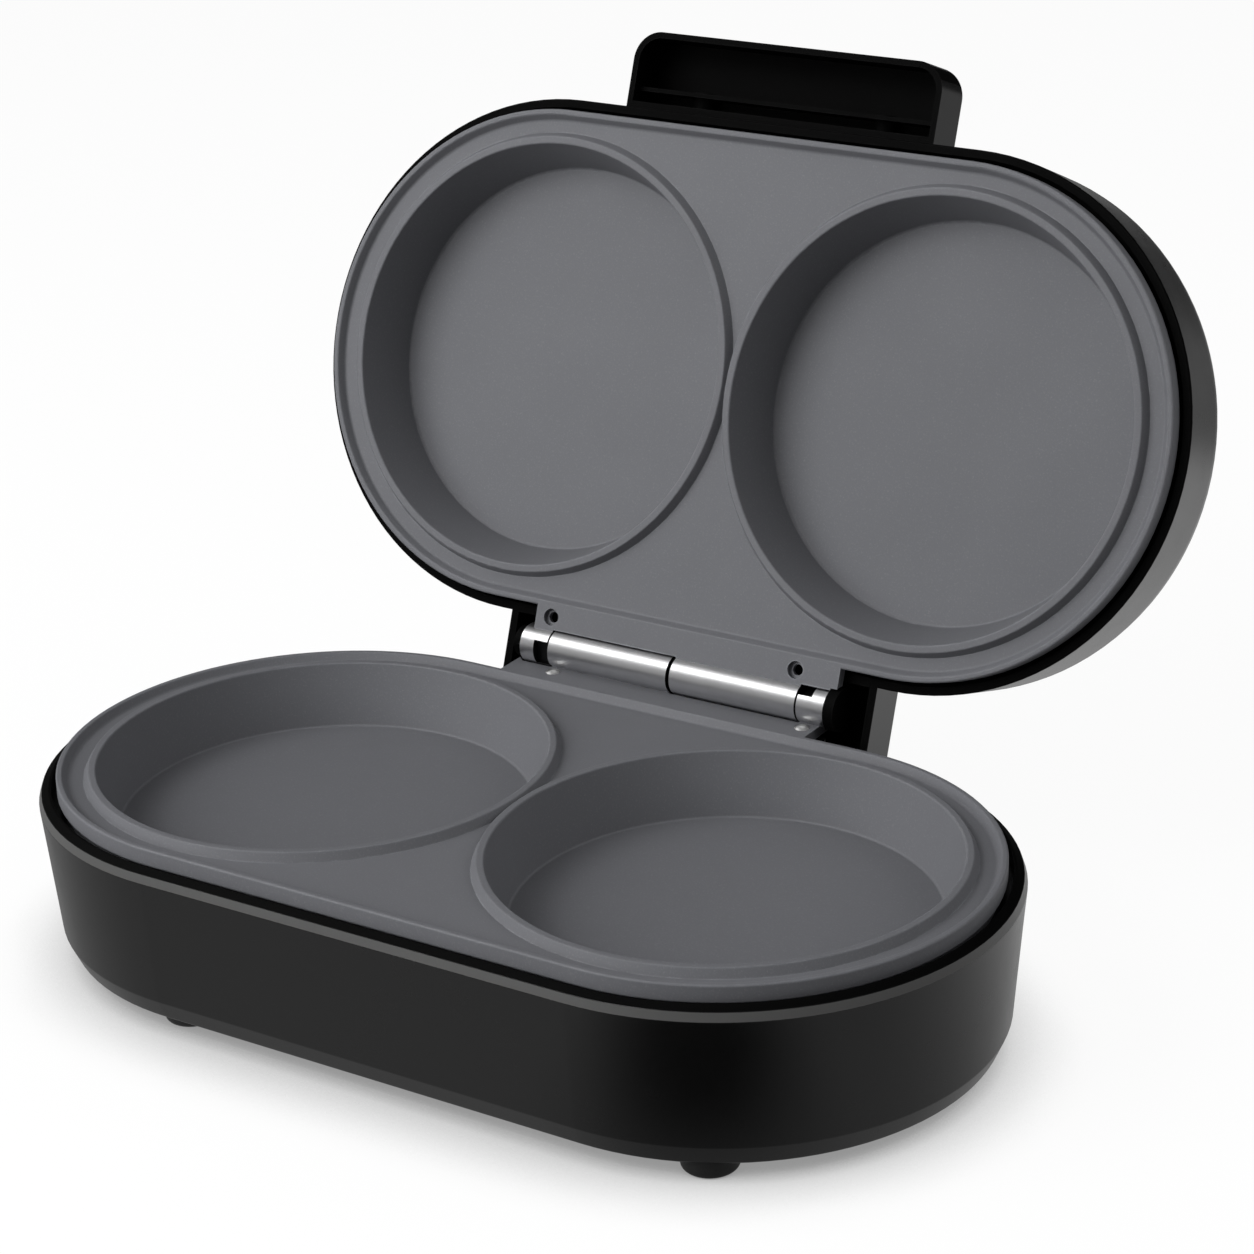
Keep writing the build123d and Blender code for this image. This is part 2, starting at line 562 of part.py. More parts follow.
def foot(x, y):
    points = [(0, 0), (FOOT_BOTTOM_RADIUS, 0), (FOOT_TOP_RADIUS, FOOT_HEIGHT), (0, FOOT_HEIGHT)]
    plug = rod_z(FOOT_PLUG_RADIUS, FOOT_HEIGHT, FOOT_HEIGHT + COVER_THICKNESS, x, y)
    return turned(points, {1: FOOT_EDGE}, x, y) + plug


def base_bottom_cover():
    top = FOOT_HEIGHT + COVER_THICKNESS
    cover = prism(COVER_RADIUS, FOOT_HEIGHT, top)
    for x, y in foot_places().values():
        cover -= rod_z(FOOT_PLUG_RADIUS, FOOT_HEIGHT, top, x, y)
    for x, y in post_places():
        cover -= rod_z(COVER_SCREW_RADIUS, FOOT_HEIGHT, top, x, y)
        cover -= rod_z(COVER_SCREW_HEAD_RADIUS, FOOT_HEIGHT, FOOT_HEIGHT + COVER_SCREW_HEAD, x, y)
    for side in (-1, 1):
        for i in range(VENT_COUNT):
            x = side * HALF_PITCH + (i - (VENT_COUNT - 1) / 2) * VENT_PITCH
            slot = Pos(x, 0, FOOT_HEIGHT) * Rot(0, 0, 90) * SlotOverall(VENT_LENGTH, VENT_WIDTH)
            cover -= extrude(slot, amount=COVER_THICKNESS, dir=(0, 0, 1))
    return cover


def bottom_cover_screws():
    screws = []
    for x, y in post_places():
        head_top = FOOT_HEIGHT + COVER_SCREW_HEAD
        screw = rod_z(COVER_SCREW_HEAD_RADIUS, FOOT_HEIGHT, head_top, x, y)
        screw += rod_z(COVER_SCREW_RADIUS, head_top, head_top + COVER_SCREW_BITE, x, y)
        screws.append(cross_recess(screw, x, y, FOOT_HEIGHT, COVER_SCREW_HEAD_RADIUS))
    return screws


def cross_recess(screw, x, y, face_z, head_radius):
    arm, half_width, depth = 0.6 * head_radius, 0.12 * head_radius, 0.3 * head_radius
    screw -= box(x - arm, x + arm, y - half_width, y + half_width, face_z, face_z + depth)
    return screw - box(x - half_width, x + half_width, y - arm, y + arm, face_z, face_z + depth)


# Pieces that each plate carries on its back, made for the lower plate with its raised edge at height 0
def plate_screws():
    screws = []
    for x, y in corners(PLATE_BOSS_X, PLATE_BOSS_Y):
        head_top = -SEAT_DEPTH - LEDGE_THICKNESS
        screw = rod_z(PLATE_SCREW_HEAD_RADIUS, head_top - PLATE_SCREW_HEAD, head_top, x, y)
        screw += rod_z(PLATE_SCREW_RADIUS, head_top, PLATE_SCREW_BITE - SEAT_DEPTH, x, y)
        screws.append(cross_recess(screw, x, y, head_top - PLATE_SCREW_HEAD, PLATE_SCREW_HEAD_RADIUS))
    return screws


def heating_element():
    """One tube round under both wells, its two cold ends turned in between them."""
    z = -FLOOR_BACK - ELEMENT_RADIUS
    tail, loop, bend = ELEMENT_TAIL_X, ELEMENT_LOOP, ELEMENT_BEND
    diagonal = bend * (1 - math.sqrt(0.5))
    path = Wire([
        Line((-tail, ELEMENT_TAIL_Y, z), (-tail, loop - bend, z)),
        ThreePointArc(
            (-tail, loop - bend, z), (-tail - diagonal, loop - diagonal, z), (-tail - bend, loop, z)
        ),
        Line((-tail - bend, loop, z), (-WELL_X, loop, z)),
        ThreePointArc((-WELL_X, loop, z), (-WELL_X - loop, 0, z), (-WELL_X, -loop, z)),
        Line((-WELL_X, -loop, z), (WELL_X, -loop, z)),
        ThreePointArc((WELL_X, -loop, z), (WELL_X + loop, 0, z), (WELL_X, loop, z)),
        Line((WELL_X, loop, z), (tail + bend, loop, z)),
        ThreePointArc((tail + bend, loop, z), (tail + diagonal, loop - diagonal, z), (tail, loop - bend, z)),
        Line((tail, loop - bend, z), (tail, ELEMENT_TAIL_Y, z)),
    ])
    start = Plane(origin=(-tail, ELEMENT_TAIL_Y, z), z_dir=(0, 1, 0))
    tube = sweep(start * Circle(ELEMENT_RADIUS), path=path)
    for side in (-1, 1):
        tube += rod_y(TERMINAL_RADIUS, ELEMENT_TAIL_Y - TERMINAL_LENGTH, ELEMENT_TAIL_Y, side * tail, z)
    return tube


def element_clips():
    clips = []
    half = ELEMENT_RADIUS + CLIP_CLEARANCE
    strap_top = -FLOOR_BACK - 2 * ELEMENT_RADIUS
    for x, y in corners(CLIP_X, ELEMENT_LOOP):
        x0, x1 = x - CLIP_LENGTH / 2, x + CLIP_LENGTH / 2
        clip = box(x0, x1, y - half - CLIP_LEG, y + half + CLIP_LEG, -STRAP_BACK, -FLOOR_BACK)
        clips.append(clip - box(x0, x1, y - half, y + half, strap_top, -FLOOR_BACK))
    return clips


def heat_reflector(thickness, holes):
    back = -STRAP_BACK - thickness
    sheet = prism(REFLECTOR_RADIUS, back, -STRAP_BACK)
    for x in holes:
        sheet -= rod_z(REFLECTOR_HOLE_RADIUS, back, -STRAP_BACK, x, 0)
    for x, y in corners(PLATE_BOSS_X, PLATE_BOSS_Y):
        sheet -= rod_z(PLATE_SCREW_HEAD_RADIUS + REFLECTOR_SCREW_MARGIN, back, -STRAP_BACK, x, y)
    return sheet


def thermostat():
    body = rod_z(THERMOSTAT_RADIUS, -FLOOR_BACK - THERMOSTAT_HEIGHT, -FLOOR_BACK, WELL_X, 0)
    width, thickness, length = THERMOSTAT_BLADE
    foot_z = -FLOOR_BACK - THERMOSTAT_HEIGHT
    for side in (-1, 1):
        x = WELL_X + side * THERMOSTAT_BLADE_X
        body += box(x - thickness / 2, x + thickness / 2, -width / 2, width / 2, foot_z - length, foot_z)
    return body


def thermal_fuse():
    height = 2 * (FUSE_RADIUS + FUSE_CLAMP_WALL)
    z = -FLOOR_BACK - height / 2
    fuse = rod_x(FUSE_RADIUS, -WELL_X - FUSE_LENGTH / 2, -WELL_X + FUSE_LENGTH / 2, 0, z)
    clamp = Pos(-WELL_X, 0, z) * Box(FUSE_CLAMP_WIDTH, FUSE_CLAMP_SPAN, height)
    return [fuse, clamp - fuse]


def on_lower(shape):
    return Pos(0, 0, LOWER_Z) * shape


# Wiring side of the base
def terminal_block():
    x, y = BLOCK_AT
    length, width, height = BLOCK_SIZE
    z0 = FOOT_HEIGHT + COVER_THICKNESS
    block = box(x - length / 2, x + length / 2, y - width / 2, y + width / 2, z0, z0 + height)
    for i in (-1, 0, 1):
        screw_x = x + i * BLOCK_SCREW_PITCH
        block -= rod_y(BLOCK_BORE_RADIUS, y - width / 2, y + width / 2, screw_x, z0 + height / 2)
        block += rod_z(BLOCK_SCREW_RADIUS, z0 + height, z0 + height + BLOCK_SCREW_HEAD, screw_x, y)
    return block


def cord_inlet_bush():
    bush = rod_y(INLET_BODY_RADIUS, RIM_RADIUS - WALL - INLET_INSIDE, RIM_RADIUS, INLET_X, INLET_Z)
    outside = RIM_RADIUS - WALL / 2
    bush += rod_y(INLET_FLANGE_RADIUS, outside, outside + INLET_FLANGE, INLET_X, INLET_Z) - base_outer()
    return bush - rod_y(
        INLET_BORE_RADIUS, RIM_RADIUS - WALL - INLET_INSIDE, outside + INLET_FLANGE, INLET_X, INLET_Z
    )


# Lid, made closed
def lid_outer():
    z0, z1 = UPPER_Z + LID_LIP, UPPER_Z + LID_DEPTH
    points = [(0, z0), (LID_RADIUS, z0), (LID_TOP_RADIUS, z1), (0, z1)]
    return stadium_turned(points, {1: RIM_ROUND, 2: LID_EDGE_FILLET})


def lid_inner():
    z0, z1 = UPPER_Z + LID_LIP, UPPER_Z + LID_DEPTH - LID_WALL
    points = [(0, z0), (LID_RADIUS - LID_WALL, z0), (LID_TOP_RADIUS - LID_WALL, z1), (0, z1)]
    return stadium_turned(points, {2: LID_EDGE_FILLET - LID_WALL})


def hump():
    z0 = UPPER_Z + LID_LIP
    body = box(
        -HUMP_HALF_WIDTH, HUMP_HALF_WIDTH, LID_RADIUS - WALL, HUMP_END_Y, z0, z0 + HUMP_DEPTH
    )
    outside = body.edges().filter_by(lambda e: e.center().Y > HUMP_END_Y - 1 and e.center().Z > z0 + 1)
    ends = body.edges().filter_by(Axis.Y).filter_by(lambda e: e.center().Z > z0 + 1)
    return fillet(ShapeList(set(outside + ends)), HUMP_FILLET)


def hump_hollow():
    z0 = UPPER_Z + LID_LIP
    half = HUMP_HALF_WIDTH - HUMP_WALL
    return box(
        -half, half, LID_RADIUS + HUMP_CAVITY_START, HUMP_END_Y - HUMP_WALL, z0, z0 + HUMP_DEPTH - HUMP_WALL
    )


def lid_shell():
    inner = lid_inner()
    top_z = UPPER_Z + LID_DEPTH
    roof_z = top_z - LID_WALL
    shell = lid_outer() + hump() - inner - hump_hollow()
    shell += ledge(UPPER_Z + SEAT_DEPTH + LEDGE_THICKNESS, inner)
    for side in (-1, 1):
        shell += rod_z(BOARD_POST_RADIUS, roof_z - BOARD_DROP, roof_z, side * BOARD_POST_X, -LAMP_Y)
        shell -= rod_z(LAMP_RADIUS, roof_z, top_z, side * LAMP_X, -LAMP_Y)
        shell -= rod_y(
            HANDLE_SCREW_RADIUS, -LID_RADIUS, LID_WALL - LID_TOP_RADIUS, side * HANDLE_SCREW_X, HANDLE_SCREW_Z
        )
    return shell


def lamp_lens(side):
    top_z = UPPER_Z + LID_DEPTH
    x, under = side * LAMP_X, top_z - LID_WALL
    lens = rod_z(LAMP_RADIUS, under, top_z, x, -LAMP_Y)
    lens += rod_z(LAMP_FLANGE_RADIUS, under - LAMP_FLANGE, under, x, -LAMP_Y)
    dome_radius = (LAMP_RADIUS ** 2 + LAMP_DOME ** 2) / (2 * LAMP_DOME)
    dome = Pos(x, -LAMP_Y, top_z + LAMP_DOME - dome_radius) * Sphere(dome_radius)
    return lens + (dome & rod_z(LAMP_RADIUS, top_z, top_z + LAMP_DOME, x, -LAMP_Y))


def lamp_board():
    """Board across its two posts, with a lamp under each lens."""
    half = BOARD_POST_X + BOARD_POST_RADIUS + BOARD_MARGIN
    roof_z = UPPER_Z + LID_DEPTH - LID_WALL
    z1 = roof_z - BOARD_DROP
    board = box(
        -half, half, -LAMP_Y - BOARD_WIDTH / 2, -LAMP_Y + BOARD_WIDTH / 2, z1 - BOARD_THICKNESS, z1
    )
    for side in (-1, 1):
        board += rod_z(LAMP_BULB_RADIUS, z1, roof_z - LAMP_FLANGE - LAMP_BULB_GAP, side * LAMP_X, -LAMP_Y)
    return board


# Handle on the front of the lid
def handle_block(inset, z0, z1):
    half = HANDLE_HALF_WIDTH - inset
    front = LID_RADIUS + HANDLE_REACH - inset
    back = LID_TOP_RADIUS if inset == 0 else LID_RADIUS + inset
    block = box(-half, half, -front, -back, z0, z1)
    uprights = block.edges().filter_by(Axis.Z).filter_by(lambda e: e.center().Y < -front + 1)
    return fillet(uprights, HANDLE_CORNER - inset)


def lid_handle():
    z0 = UPPER_Z + HANDLE_START
    z1 = z0 + HANDLE_DEPTH
    grip = handle_block(0, z0, z1)
    rounded = grip.faces().sort_by(Axis.Z)[-1].edges().filter_by(lambda e: e.center().Y < -LID_RADIUS)
    grip = fillet(rounded, HANDLE_EDGE)
    grip -= handle_block(HANDLE_WALL, z0, z1 - HANDLE_WALL)
    y = -LID_RADIUS - HANDLE_LEDGE_Y
    half = HANDLE_HALF_WIDTH - HANDLE_WALL
    grip += box(-half, half, y - HANDLE_LEDGE_THICKNESS, y, z0 + HANDLE_LEDGE_DROP, z1 - HANDLE_WALL)
    for side in (-1, 1):
        x = side * HANDLE_SCREW_X
        y0 = -LID_RADIUS - HANDLE_BOSS_LENGTH
        grip += rod_y(HANDLE_BOSS_RADIUS, y0, -LID_TOP_RADIUS, x, HANDLE_SCREW_Z)
        grip -= rod_y(HANDLE_SCREW_RADIUS, y0 + HANDLE_WALL, -LID_TOP_RADIUS, x, HANDLE_SCREW_Z)
    for x in CLIP_SLOTS:
        grip -= box(
            x - CLIP_SLOT_WIDTH / 2, x + CLIP_SLOT_WIDTH / 2, -LID_RADIUS - HANDLE_WALL, -LID_TOP_RADIUS,
            z0 + HANDLE_LEDGE_DROP, z0 + HANDLE_LEDGE_DROP + CLIP_SLOT_HEIGHT,
        )
    return grip - lid_outer()


def handle_screws():
    screws = []
    draft = (LID_RADIUS - LID_TOP_RADIUS) / (LID_DEPTH - LID_WALL - LID_LIP)
    head_edge = HANDLE_SCREW_Z + HANDLE_SCREW_HEAD_RADIUS - UPPER_Z - LID_LIP
    wall_y = LID_WALL - LID_RADIUS + draft * head_edge
    for side in (-1, 1):
        x = side * HANDLE_SCREW_X
        head = rod_y(HANDLE_SCREW_HEAD_RADIUS, wall_y, wall_y + HANDLE_SCREW_HEAD, x, HANDLE_SCREW_Z)
        shank_y = wall_y - LID_WALL - HANDLE_SCREW_BITE
        screws.append(head + rod_y(HANDLE_SCREW_RADIUS, shank_y, wall_y, x, HANDLE_SCREW_Z))
    return screws


def base_pieces():
    pieces = {
        "base_shell": base_shell(),
        "base_bottom_cover": base_bottom_cover(),
        "bottom_cover_screws": bottom_cover_screws(),
        "lower_cooking_plate": lower_cooking_plate(),
        "hinge_pin": hinge_pin(),
        "hinge_cap_left": hinge_cap(*LEFT_CAP),
        "hinge_cap_right": hinge_cap(*RIGHT_CAP),
        "lower_flange_screws": lower_flange_screws(),
        "lower_plate_screws": [on_lower(s) for s in plate_screws()],
        "lower_heating_element": on_lower(heating_element()),
        "lower_element_clips": [on_lower(s) for s in element_clips()],
        "lower_heat_reflector": on_lower(heat_reflector(LOWER_REFLECTOR_THICKNESS, (-WELL_X, WELL_X))),
        "thermostat": on_lower(thermostat()),
        "thermal_fuse": [on_lower(s) for s in thermal_fuse()],
        "terminal_block": terminal_block(),
        "cord_inlet_bush": cord_inlet_bush(),
    }
    for name, (x, y) in foot_places().items():
        pieces["foot_" + name] = foot(x, y)
    return pieces


def lid_pieces():
    closed = {
        "lid_shell": lid_shell(),
        "upper_cooking_plate": upper_cooking_plate(),
        "upper_plate_screws": [face_down(s) for s in plate_screws()],
        "upper_heating_element": face_down(heating_element()),
        "upper_element_clips": [face_down(s) for s in element_clips()],
        "upper_heat_reflector": face_down(heat_reflector(UPPER_REFLECTOR_THICKNESS, ())),
        "lid_handle": lid_handle(),
        "handle_screws": handle_screws(),
        "power_lamp_lens": lamp_lens(-1),
        "ready_lamp_lens": lamp_lens(1),
        "lamp_board": lamp_board(),
    }
    return {
        name: [opened(s) for s in piece] if isinstance(piece, list) else opened(piece)
        for name, piece in closed.items()
    }


def all_solids(piece):
    if isinstance(piece, list):
        return [s for part in piece for s in all_solids(part)]
    return list(piece.solids())


def main():
    os.makedirs("parts", exist_ok=True)
    pieces = {**base_pieces(), **lid_pieces()}
    solids = {name: all_solids(piece) for name, piece in pieces.items()}
    whole = Compound([s for group in solids.values() for s in group]).bounding_box()
    # The origin is the centre of the footprint, on the surface that the feet stand on
    shift = Pos(-(whole.min.X + whole.max.X) / 2, -(whole.min.Y + whole.max.Y) / 2, -whole.min.Z)
    for name, group in solids.items():
        placed = [shift * s for s in group]
        node = placed[0] if len(placed) == 1 else Compound(placed)
        export_step(node, os.path.join("parts", name + ".step"))
    moved = shift.position
    print("origin shift", round(moved.X, 4), round(moved.Y, 4), round(moved.Z, 4))
    print("hinge axis at y", round(HINGE_Y + moved.Y, 4), "z", round(HINGE_Z + moved.Z, 4))
    print("plate heights", LOWER_Z, UPPER_Z, "seat", SEAT_DEPTH, "stop", stop_rib_face())


main()
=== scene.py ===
"""Finish, small parts and studio for a twin omelette maker that stands open.

The construction is loaded as a fixed frame. This file gives every surface its finish, adds the small turned
and moulded parts that show from close by, and sets up the floor, lamps and camera. Lengths are in metres.
"""

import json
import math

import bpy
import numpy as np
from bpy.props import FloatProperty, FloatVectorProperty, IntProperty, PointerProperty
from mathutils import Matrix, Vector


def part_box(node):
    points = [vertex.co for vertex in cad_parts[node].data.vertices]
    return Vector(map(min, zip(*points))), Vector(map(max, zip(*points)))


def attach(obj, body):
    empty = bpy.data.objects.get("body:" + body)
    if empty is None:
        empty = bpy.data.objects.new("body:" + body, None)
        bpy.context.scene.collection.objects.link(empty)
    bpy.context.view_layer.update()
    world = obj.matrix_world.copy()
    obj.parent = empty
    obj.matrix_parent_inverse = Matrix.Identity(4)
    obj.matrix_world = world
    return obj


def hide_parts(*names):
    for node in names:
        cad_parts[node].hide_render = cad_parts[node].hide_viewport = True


bl_info = {
    "name": "Twin omelette maker",
    "version": (1, 0, 0),
    "blender": (4, 5, 0),
    "location": "3D View > Sidebar > Omelette",
    "description": "Finishes, small parts and studio for a twin omelette maker",
    "category": "Object",
}

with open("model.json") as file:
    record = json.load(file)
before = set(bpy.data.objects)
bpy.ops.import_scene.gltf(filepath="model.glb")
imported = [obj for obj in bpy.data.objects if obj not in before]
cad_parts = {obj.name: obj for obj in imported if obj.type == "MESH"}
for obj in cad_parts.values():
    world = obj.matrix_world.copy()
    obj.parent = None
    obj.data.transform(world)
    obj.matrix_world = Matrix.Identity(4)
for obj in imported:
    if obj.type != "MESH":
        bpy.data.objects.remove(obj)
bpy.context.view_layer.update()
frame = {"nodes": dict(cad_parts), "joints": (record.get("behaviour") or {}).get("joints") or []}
NODES = frame["nodes"]
HINGE = next(joint for joint in frame["joints"] if joint["name"] == "lid_hinge")
MM = 0.001

# Camera, solved on the photograph: where it stands, where it points and its lens
CAMERA_PLACE = (0.4619, -0.6873, 0.4238)
CAMERA_DOWN = 0.366
CAMERA_ROUND = 0.531
CAMERA_ROLL = -0.012
CAMERA_LENS = 93.69
CAMERA_SENSOR = 36.0
CAMERA_SHIFT = (-0.126, -0.0534)

BARREL_REACH = 6.05 * MM      # from the pin axis to just outside a hinge barrel
BARREL_SKIN = 5.5 * MM        # and to just inside its turned skin
LID_LEAN = math.radians(20.0)  # the lid's plate from upright, at rest
BASE_MIDDLE_Y = -42.96 * MM   # centre line of the base
HALF_PITCH = 65.5 * MM        # from the middle to the centre of each rounded end
# The chamfer between these heights is painted paler: a painted highlight.
RIM_BAND = (46.8 * MM, 49.0 * MM)   # heights of the pale chamfer under the base's rim
RIM_SKIN = 75.8 * MM          # from the centre line to just inside the casing's outer skin
HANDLE_SKIN = 1.1 * MM        # depth of the grip's outer skin
# Faces picked with these bounds get a darker, duller copy of the casing black: painted shade on the rim's
# level top, the lid's forward faces and the grip's hollow and front.
FACES_UP = 0.7                # least upward part of the normal on the rim's level top
LID_FACES_AHEAD = 0.3         # least forward part on the lid's inside, and on the grip's
GRIP_FACES_AHEAD = 0.6

# What gloss mirrors: a dim room in place of the white sky, and two cards on the floor
ROOM_SPAN = (-0.1, 0.5)       # how far back a direction points, where the room starts and ends to darken
ROOM_LEVEL = (0.30, 0.03)
PALE_CARD = ((0.31, 0.24), 0.14, 0.36, (0.32, 0.85))   # centre, inner and outer radius, levels out and in
DARK_CARD = ((0.115, -0.165), 0.02, 0.09, (1.0, 0.0))

# Floor as the eye sees it
FLOOR_HALF = 4.0
FLOOR_BOUNCE = (0.35, 0.35, 0.35)   # its colour for light that it sends on
SHADOW_REACH = 0.035
SHADOW_SPAN = (0.2, 0.78)
SHADOW_DEPTH = 0.3
PLAIN_SHARE = 0.94            # share that is plain white with the soft shadow

# Lamps: place and size
LAMP_TARGET = (0.0, 0.0, 0.1)
KEY_LAMP = ((-0.85, -1.2, 0.78), (1.1, 1.1))
STRIP_LAMP = ((-0.7, -0.66, 1.2), (1.8, 0.4))
TOP_LAMP = ((-0.2, -0.1, 1.7), (1.2, 1.2))
FILL_LAMP = ((0.9, 0.35, 0.8), (0.8, 0.8))


def colour(name, text, default):
    return FloatVectorProperty(
        name=name, description=text, subtype="COLOR", size=3, min=0, max=1, default=default,
    )


def length(name, text, default):
    return FloatProperty(name=name, description=text, default=default, min=0, unit="LENGTH", precision=5)


def share(name, text, default):
    return FloatProperty(name=name, description=text, default=default, min=0, max=1, subtype="FACTOR")


def power(name, text, default):
    return FloatProperty(name=name, description=text, default=default, min=0, unit="POWER")


class CasingLook(bpy.types.PropertyGroup):
    """Moulded black casings, cover, handle and caps."""
    colour: colour("Colour", "Pigment of the moulded casings", (0.0042, 0.0042, 0.0042))
    # Painted shade: a darker colour and a duller finish for faces that point into the maker.
    painted_shade_colour: colour("Inside colour", "Faces that point into the maker", (0.0012, 0.0012, 0.0012))
    # Painted highlight: a paler colour painted on the chamfer under the base's rim where light catches it.
    band: colour("Rim band", "Paler rubbed chamfer under the base's rim", (0.066, 0.066, 0.065))
    roughness: share("Roughness", "Gloss of the outside", 0.24)
    inside: share("Inside roughness", "Matte grain of faces that point into the maker", 0.62)
    grain: length("Grain", "Size of the mould's fine grain", 0.35 * MM)


class CoatingLook(bpy.types.PropertyGroup):
    """Non-stick coating of the two cooking plates."""
    colour: colour("Colour", "Coating on the plates", (0.121, 0.123, 0.133))
    fleck: colour("Fleck", "Paler flecks in the coating", (0.165, 0.168, 0.180))
    roughness: share("Roughness", "Sheen of the coating", 0.55)
    grain: length("Grain", "Size of the sprayed texture", 0.45 * MM)


class MetalLook(bpy.types.PropertyGroup):
    """Bare and plated metal."""
    barrel: colour("Barrels", "Machined aluminium of the hinge barrels", (0.82, 0.82, 0.83))
    # Also used for the barrels' bores and seams, where it is painted shade.
    dark: colour("Dark steel", "Blackened pin and handle screws", (0.05, 0.05, 0.052))
    plated: colour("Plated steel", "Zinc-plated screws and clips", (0.66, 0.66, 0.65))
    satin: colour("Satin steel", "Domed screws in the lower flange", (0.86, 0.86, 0.85))
    sheath: colour("Element sheath", "Heat-darkened sheath of the elements", (0.20, 0.17, 0.145))
    sheet: colour("Reflector", "Aluminium reflector sheet", (0.80, 0.80, 0.81))


class SmallPartLook(bpy.types.PropertyGroup):
    """Rubber, resin and lamp lenses."""
    rubber: colour("Rubber", "Feet and cord bush", (0.008, 0.008, 0.008))
    turns: IntProperty(
        name="Steps round", description="Facets round a turned part", default=96, min=24, max=256,
    )
    tread: length("Foot tread", "Depth of the rings under each foot", 0.5 * MM)
    recess: length("Screw recess", "Depth of the cross in each screw head", 1.1 * MM)
    resin: colour("Brown resin", "Thermostat and fuse bodies", (0.10, 0.055, 0.03))
    pale: colour("Pale resin", "Terminal block and lamp board", (0.72, 0.70, 0.63))
    red: colour("Power lens", "Tint of the power lamp's lens", (0.70, 0.03, 0.02))
    green: colour("Ready lens", "Tint of the ready lamp's lens", (0.05, 0.50, 0.10))


class StudioSetup(bpy.types.PropertyGroup):
    """Floor, lamps and sky of the plain studio."""
    floor: colour("Floor", "Pale floor", (0.93, 0.93, 0.93))
    sky: share("Sky", "Even light from all round", 0.2)
    key: power("Key lamp", "Large lamp at the front left", 27.0)
    strip: power("Strip lamp", "Long lamp that the hinge mirrors", 8.0)
    top: power("Top lamp", "Broad lamp overhead", 1.0)
    fill: power("Fill lamp", "Soft lamp at the back right", 5.0)


LOOKS = {
    "omelette_casing": CasingLook, "omelette_coating": CoatingLook, "omelette_metal": MetalLook,
    "omelette_small": SmallPartLook, "omelette_studio": StudioSetup,
}


# Shader building blocks
def add(tree, kind, inputs=None, **settings):
    """A shader node with its settings, and its inputs given by name or place as a value or another socket."""
    node = tree.nodes.new(kind)
    for name, value in settings.items():
        setattr(node, name, value)
    for key, value in (inputs or {}).items():
        socket = node.inputs[key]
        if isinstance(value, bpy.types.NodeSocket):
            tree.links.new(value, socket)
        else:
            socket.default_value = value
    return node


def maths(tree, operation, *values):
    """The result of one math node on numbers or sockets."""
    return add(tree, "ShaderNodeMath", dict(enumerate(values)), operation=operation).outputs[0]


def remap(tree, value, low, high, to_low=0.0, to_high=1.0, **settings):
    """A value carried over from one range to another and held inside it."""
    ends = {"Value": value, "From Min": low, "From Max": high, "To Min": to_low, "To Max": to_high}
    return add(tree, "ShaderNodeMapRange", ends, **settings).outputs["Result"]


def group(name, inputs, outputs):
    """An empty node group with named float inputs and outputs, and its two end nodes."""
    tree = bpy.data.node_groups.new(name, "ShaderNodeTree")
    for label, kind, value in inputs:
        socket = tree.interface.new_socket(label, in_out="INPUT", socket_type=kind)
        socket.default_value = value
    for label, kind in outputs:
        tree.interface.new_socket(label, in_out="OUTPUT", socket_type=kind)
    return tree, tree.nodes.new("NodeGroupInput"), tree.nodes.new("NodeGroupOutput")


def sprayed_grain():
    """Fine grain: two sizes of noise added as a height, and a slow mottle for colour and gloss."""
    tree, start, end = group(
        "Sprayed grain",
        [("Grain size", "NodeSocketFloat", 0.0004), ("Mottle size", "NodeSocketFloat", 0.03)],
        [("Height", "NodeSocketFloat"), ("Mottle", "NodeSocketFloat"), ("Fleck", "NodeSocketFloat")],
    )
    place = add(tree, "ShaderNodeTexCoord").outputs["Object"]
    fine = maths(tree, "DIVIDE", 1.0, start.outputs["Grain size"])
    slow = maths(tree, "DIVIDE", 1.0, start.outputs["Mottle size"])
    grain = add(tree, "ShaderNodeTexNoise", {"Vector": place, "Scale": fine, "Detail": 3.0, "Roughness": 0.6})
    cells = add(tree, "ShaderNodeTexVoronoi", {"Vector": place, "Scale": fine, "Randomness": 1.0})
    mottle = add(tree, "ShaderNodeTexNoise", {
        "Vector": place, "Scale": slow, "Detail": 4.0, "Roughness": 0.55,
    })
    height = maths(tree, "MULTIPLY_ADD", cells.outputs["Distance"], 0.35, grain.outputs["Fac"])
    tree.links.new(height, end.inputs["Height"])
    tree.links.new(mottle.outputs["Fac"], end.inputs["Mottle"])
    tree.links.new(remap(tree, grain.outputs["Fac"], 0.55, 0.75), end.inputs["Fleck"])
    return tree


def edge_wear_and_highlight():
    """Mask of edges that are partly worn and partly given a painted highlight: how far a rounded normal
    leaves the true one, broken up by a slow noise.
    """
    tree, start, end = group(
        "Edge wear and painted highlight", [("Width", "NodeSocketFloat", 0.0008), ("Reach", "NodeSocketFloat", 0.35)],
        [("Mask", "NodeSocketFloat")],
    )
    place = add(tree, "ShaderNodeTexCoord").outputs["Object"]
    rounded = add(tree, "ShaderNodeBevel", {"Radius": start.outputs["Width"]}, samples=4)
    true = add(tree, "ShaderNodeNewGeometry").outputs["Normal"]
    same = add(tree, "ShaderNodeVectorMath", {0: rounded.outputs["Normal"], 1: true}, operation="DOT_PRODUCT")
    edge = remap(tree, same.outputs["Value"], 0.995, 0.85)
    patches = add(tree, "ShaderNodeTexNoise", {"Vector": place, "Scale": 160.0, "Detail": 3.0})
    edges_worn_and_lit = remap(tree, patches.outputs["Fac"], 0.35, 0.65)
    mask = maths(tree, "MULTIPLY", edge, edges_worn_and_lit)
    tree.links.new(maths(tree, "MULTIPLY", mask, start.outputs["Reach"]), end.inputs["Mask"])
    return tree


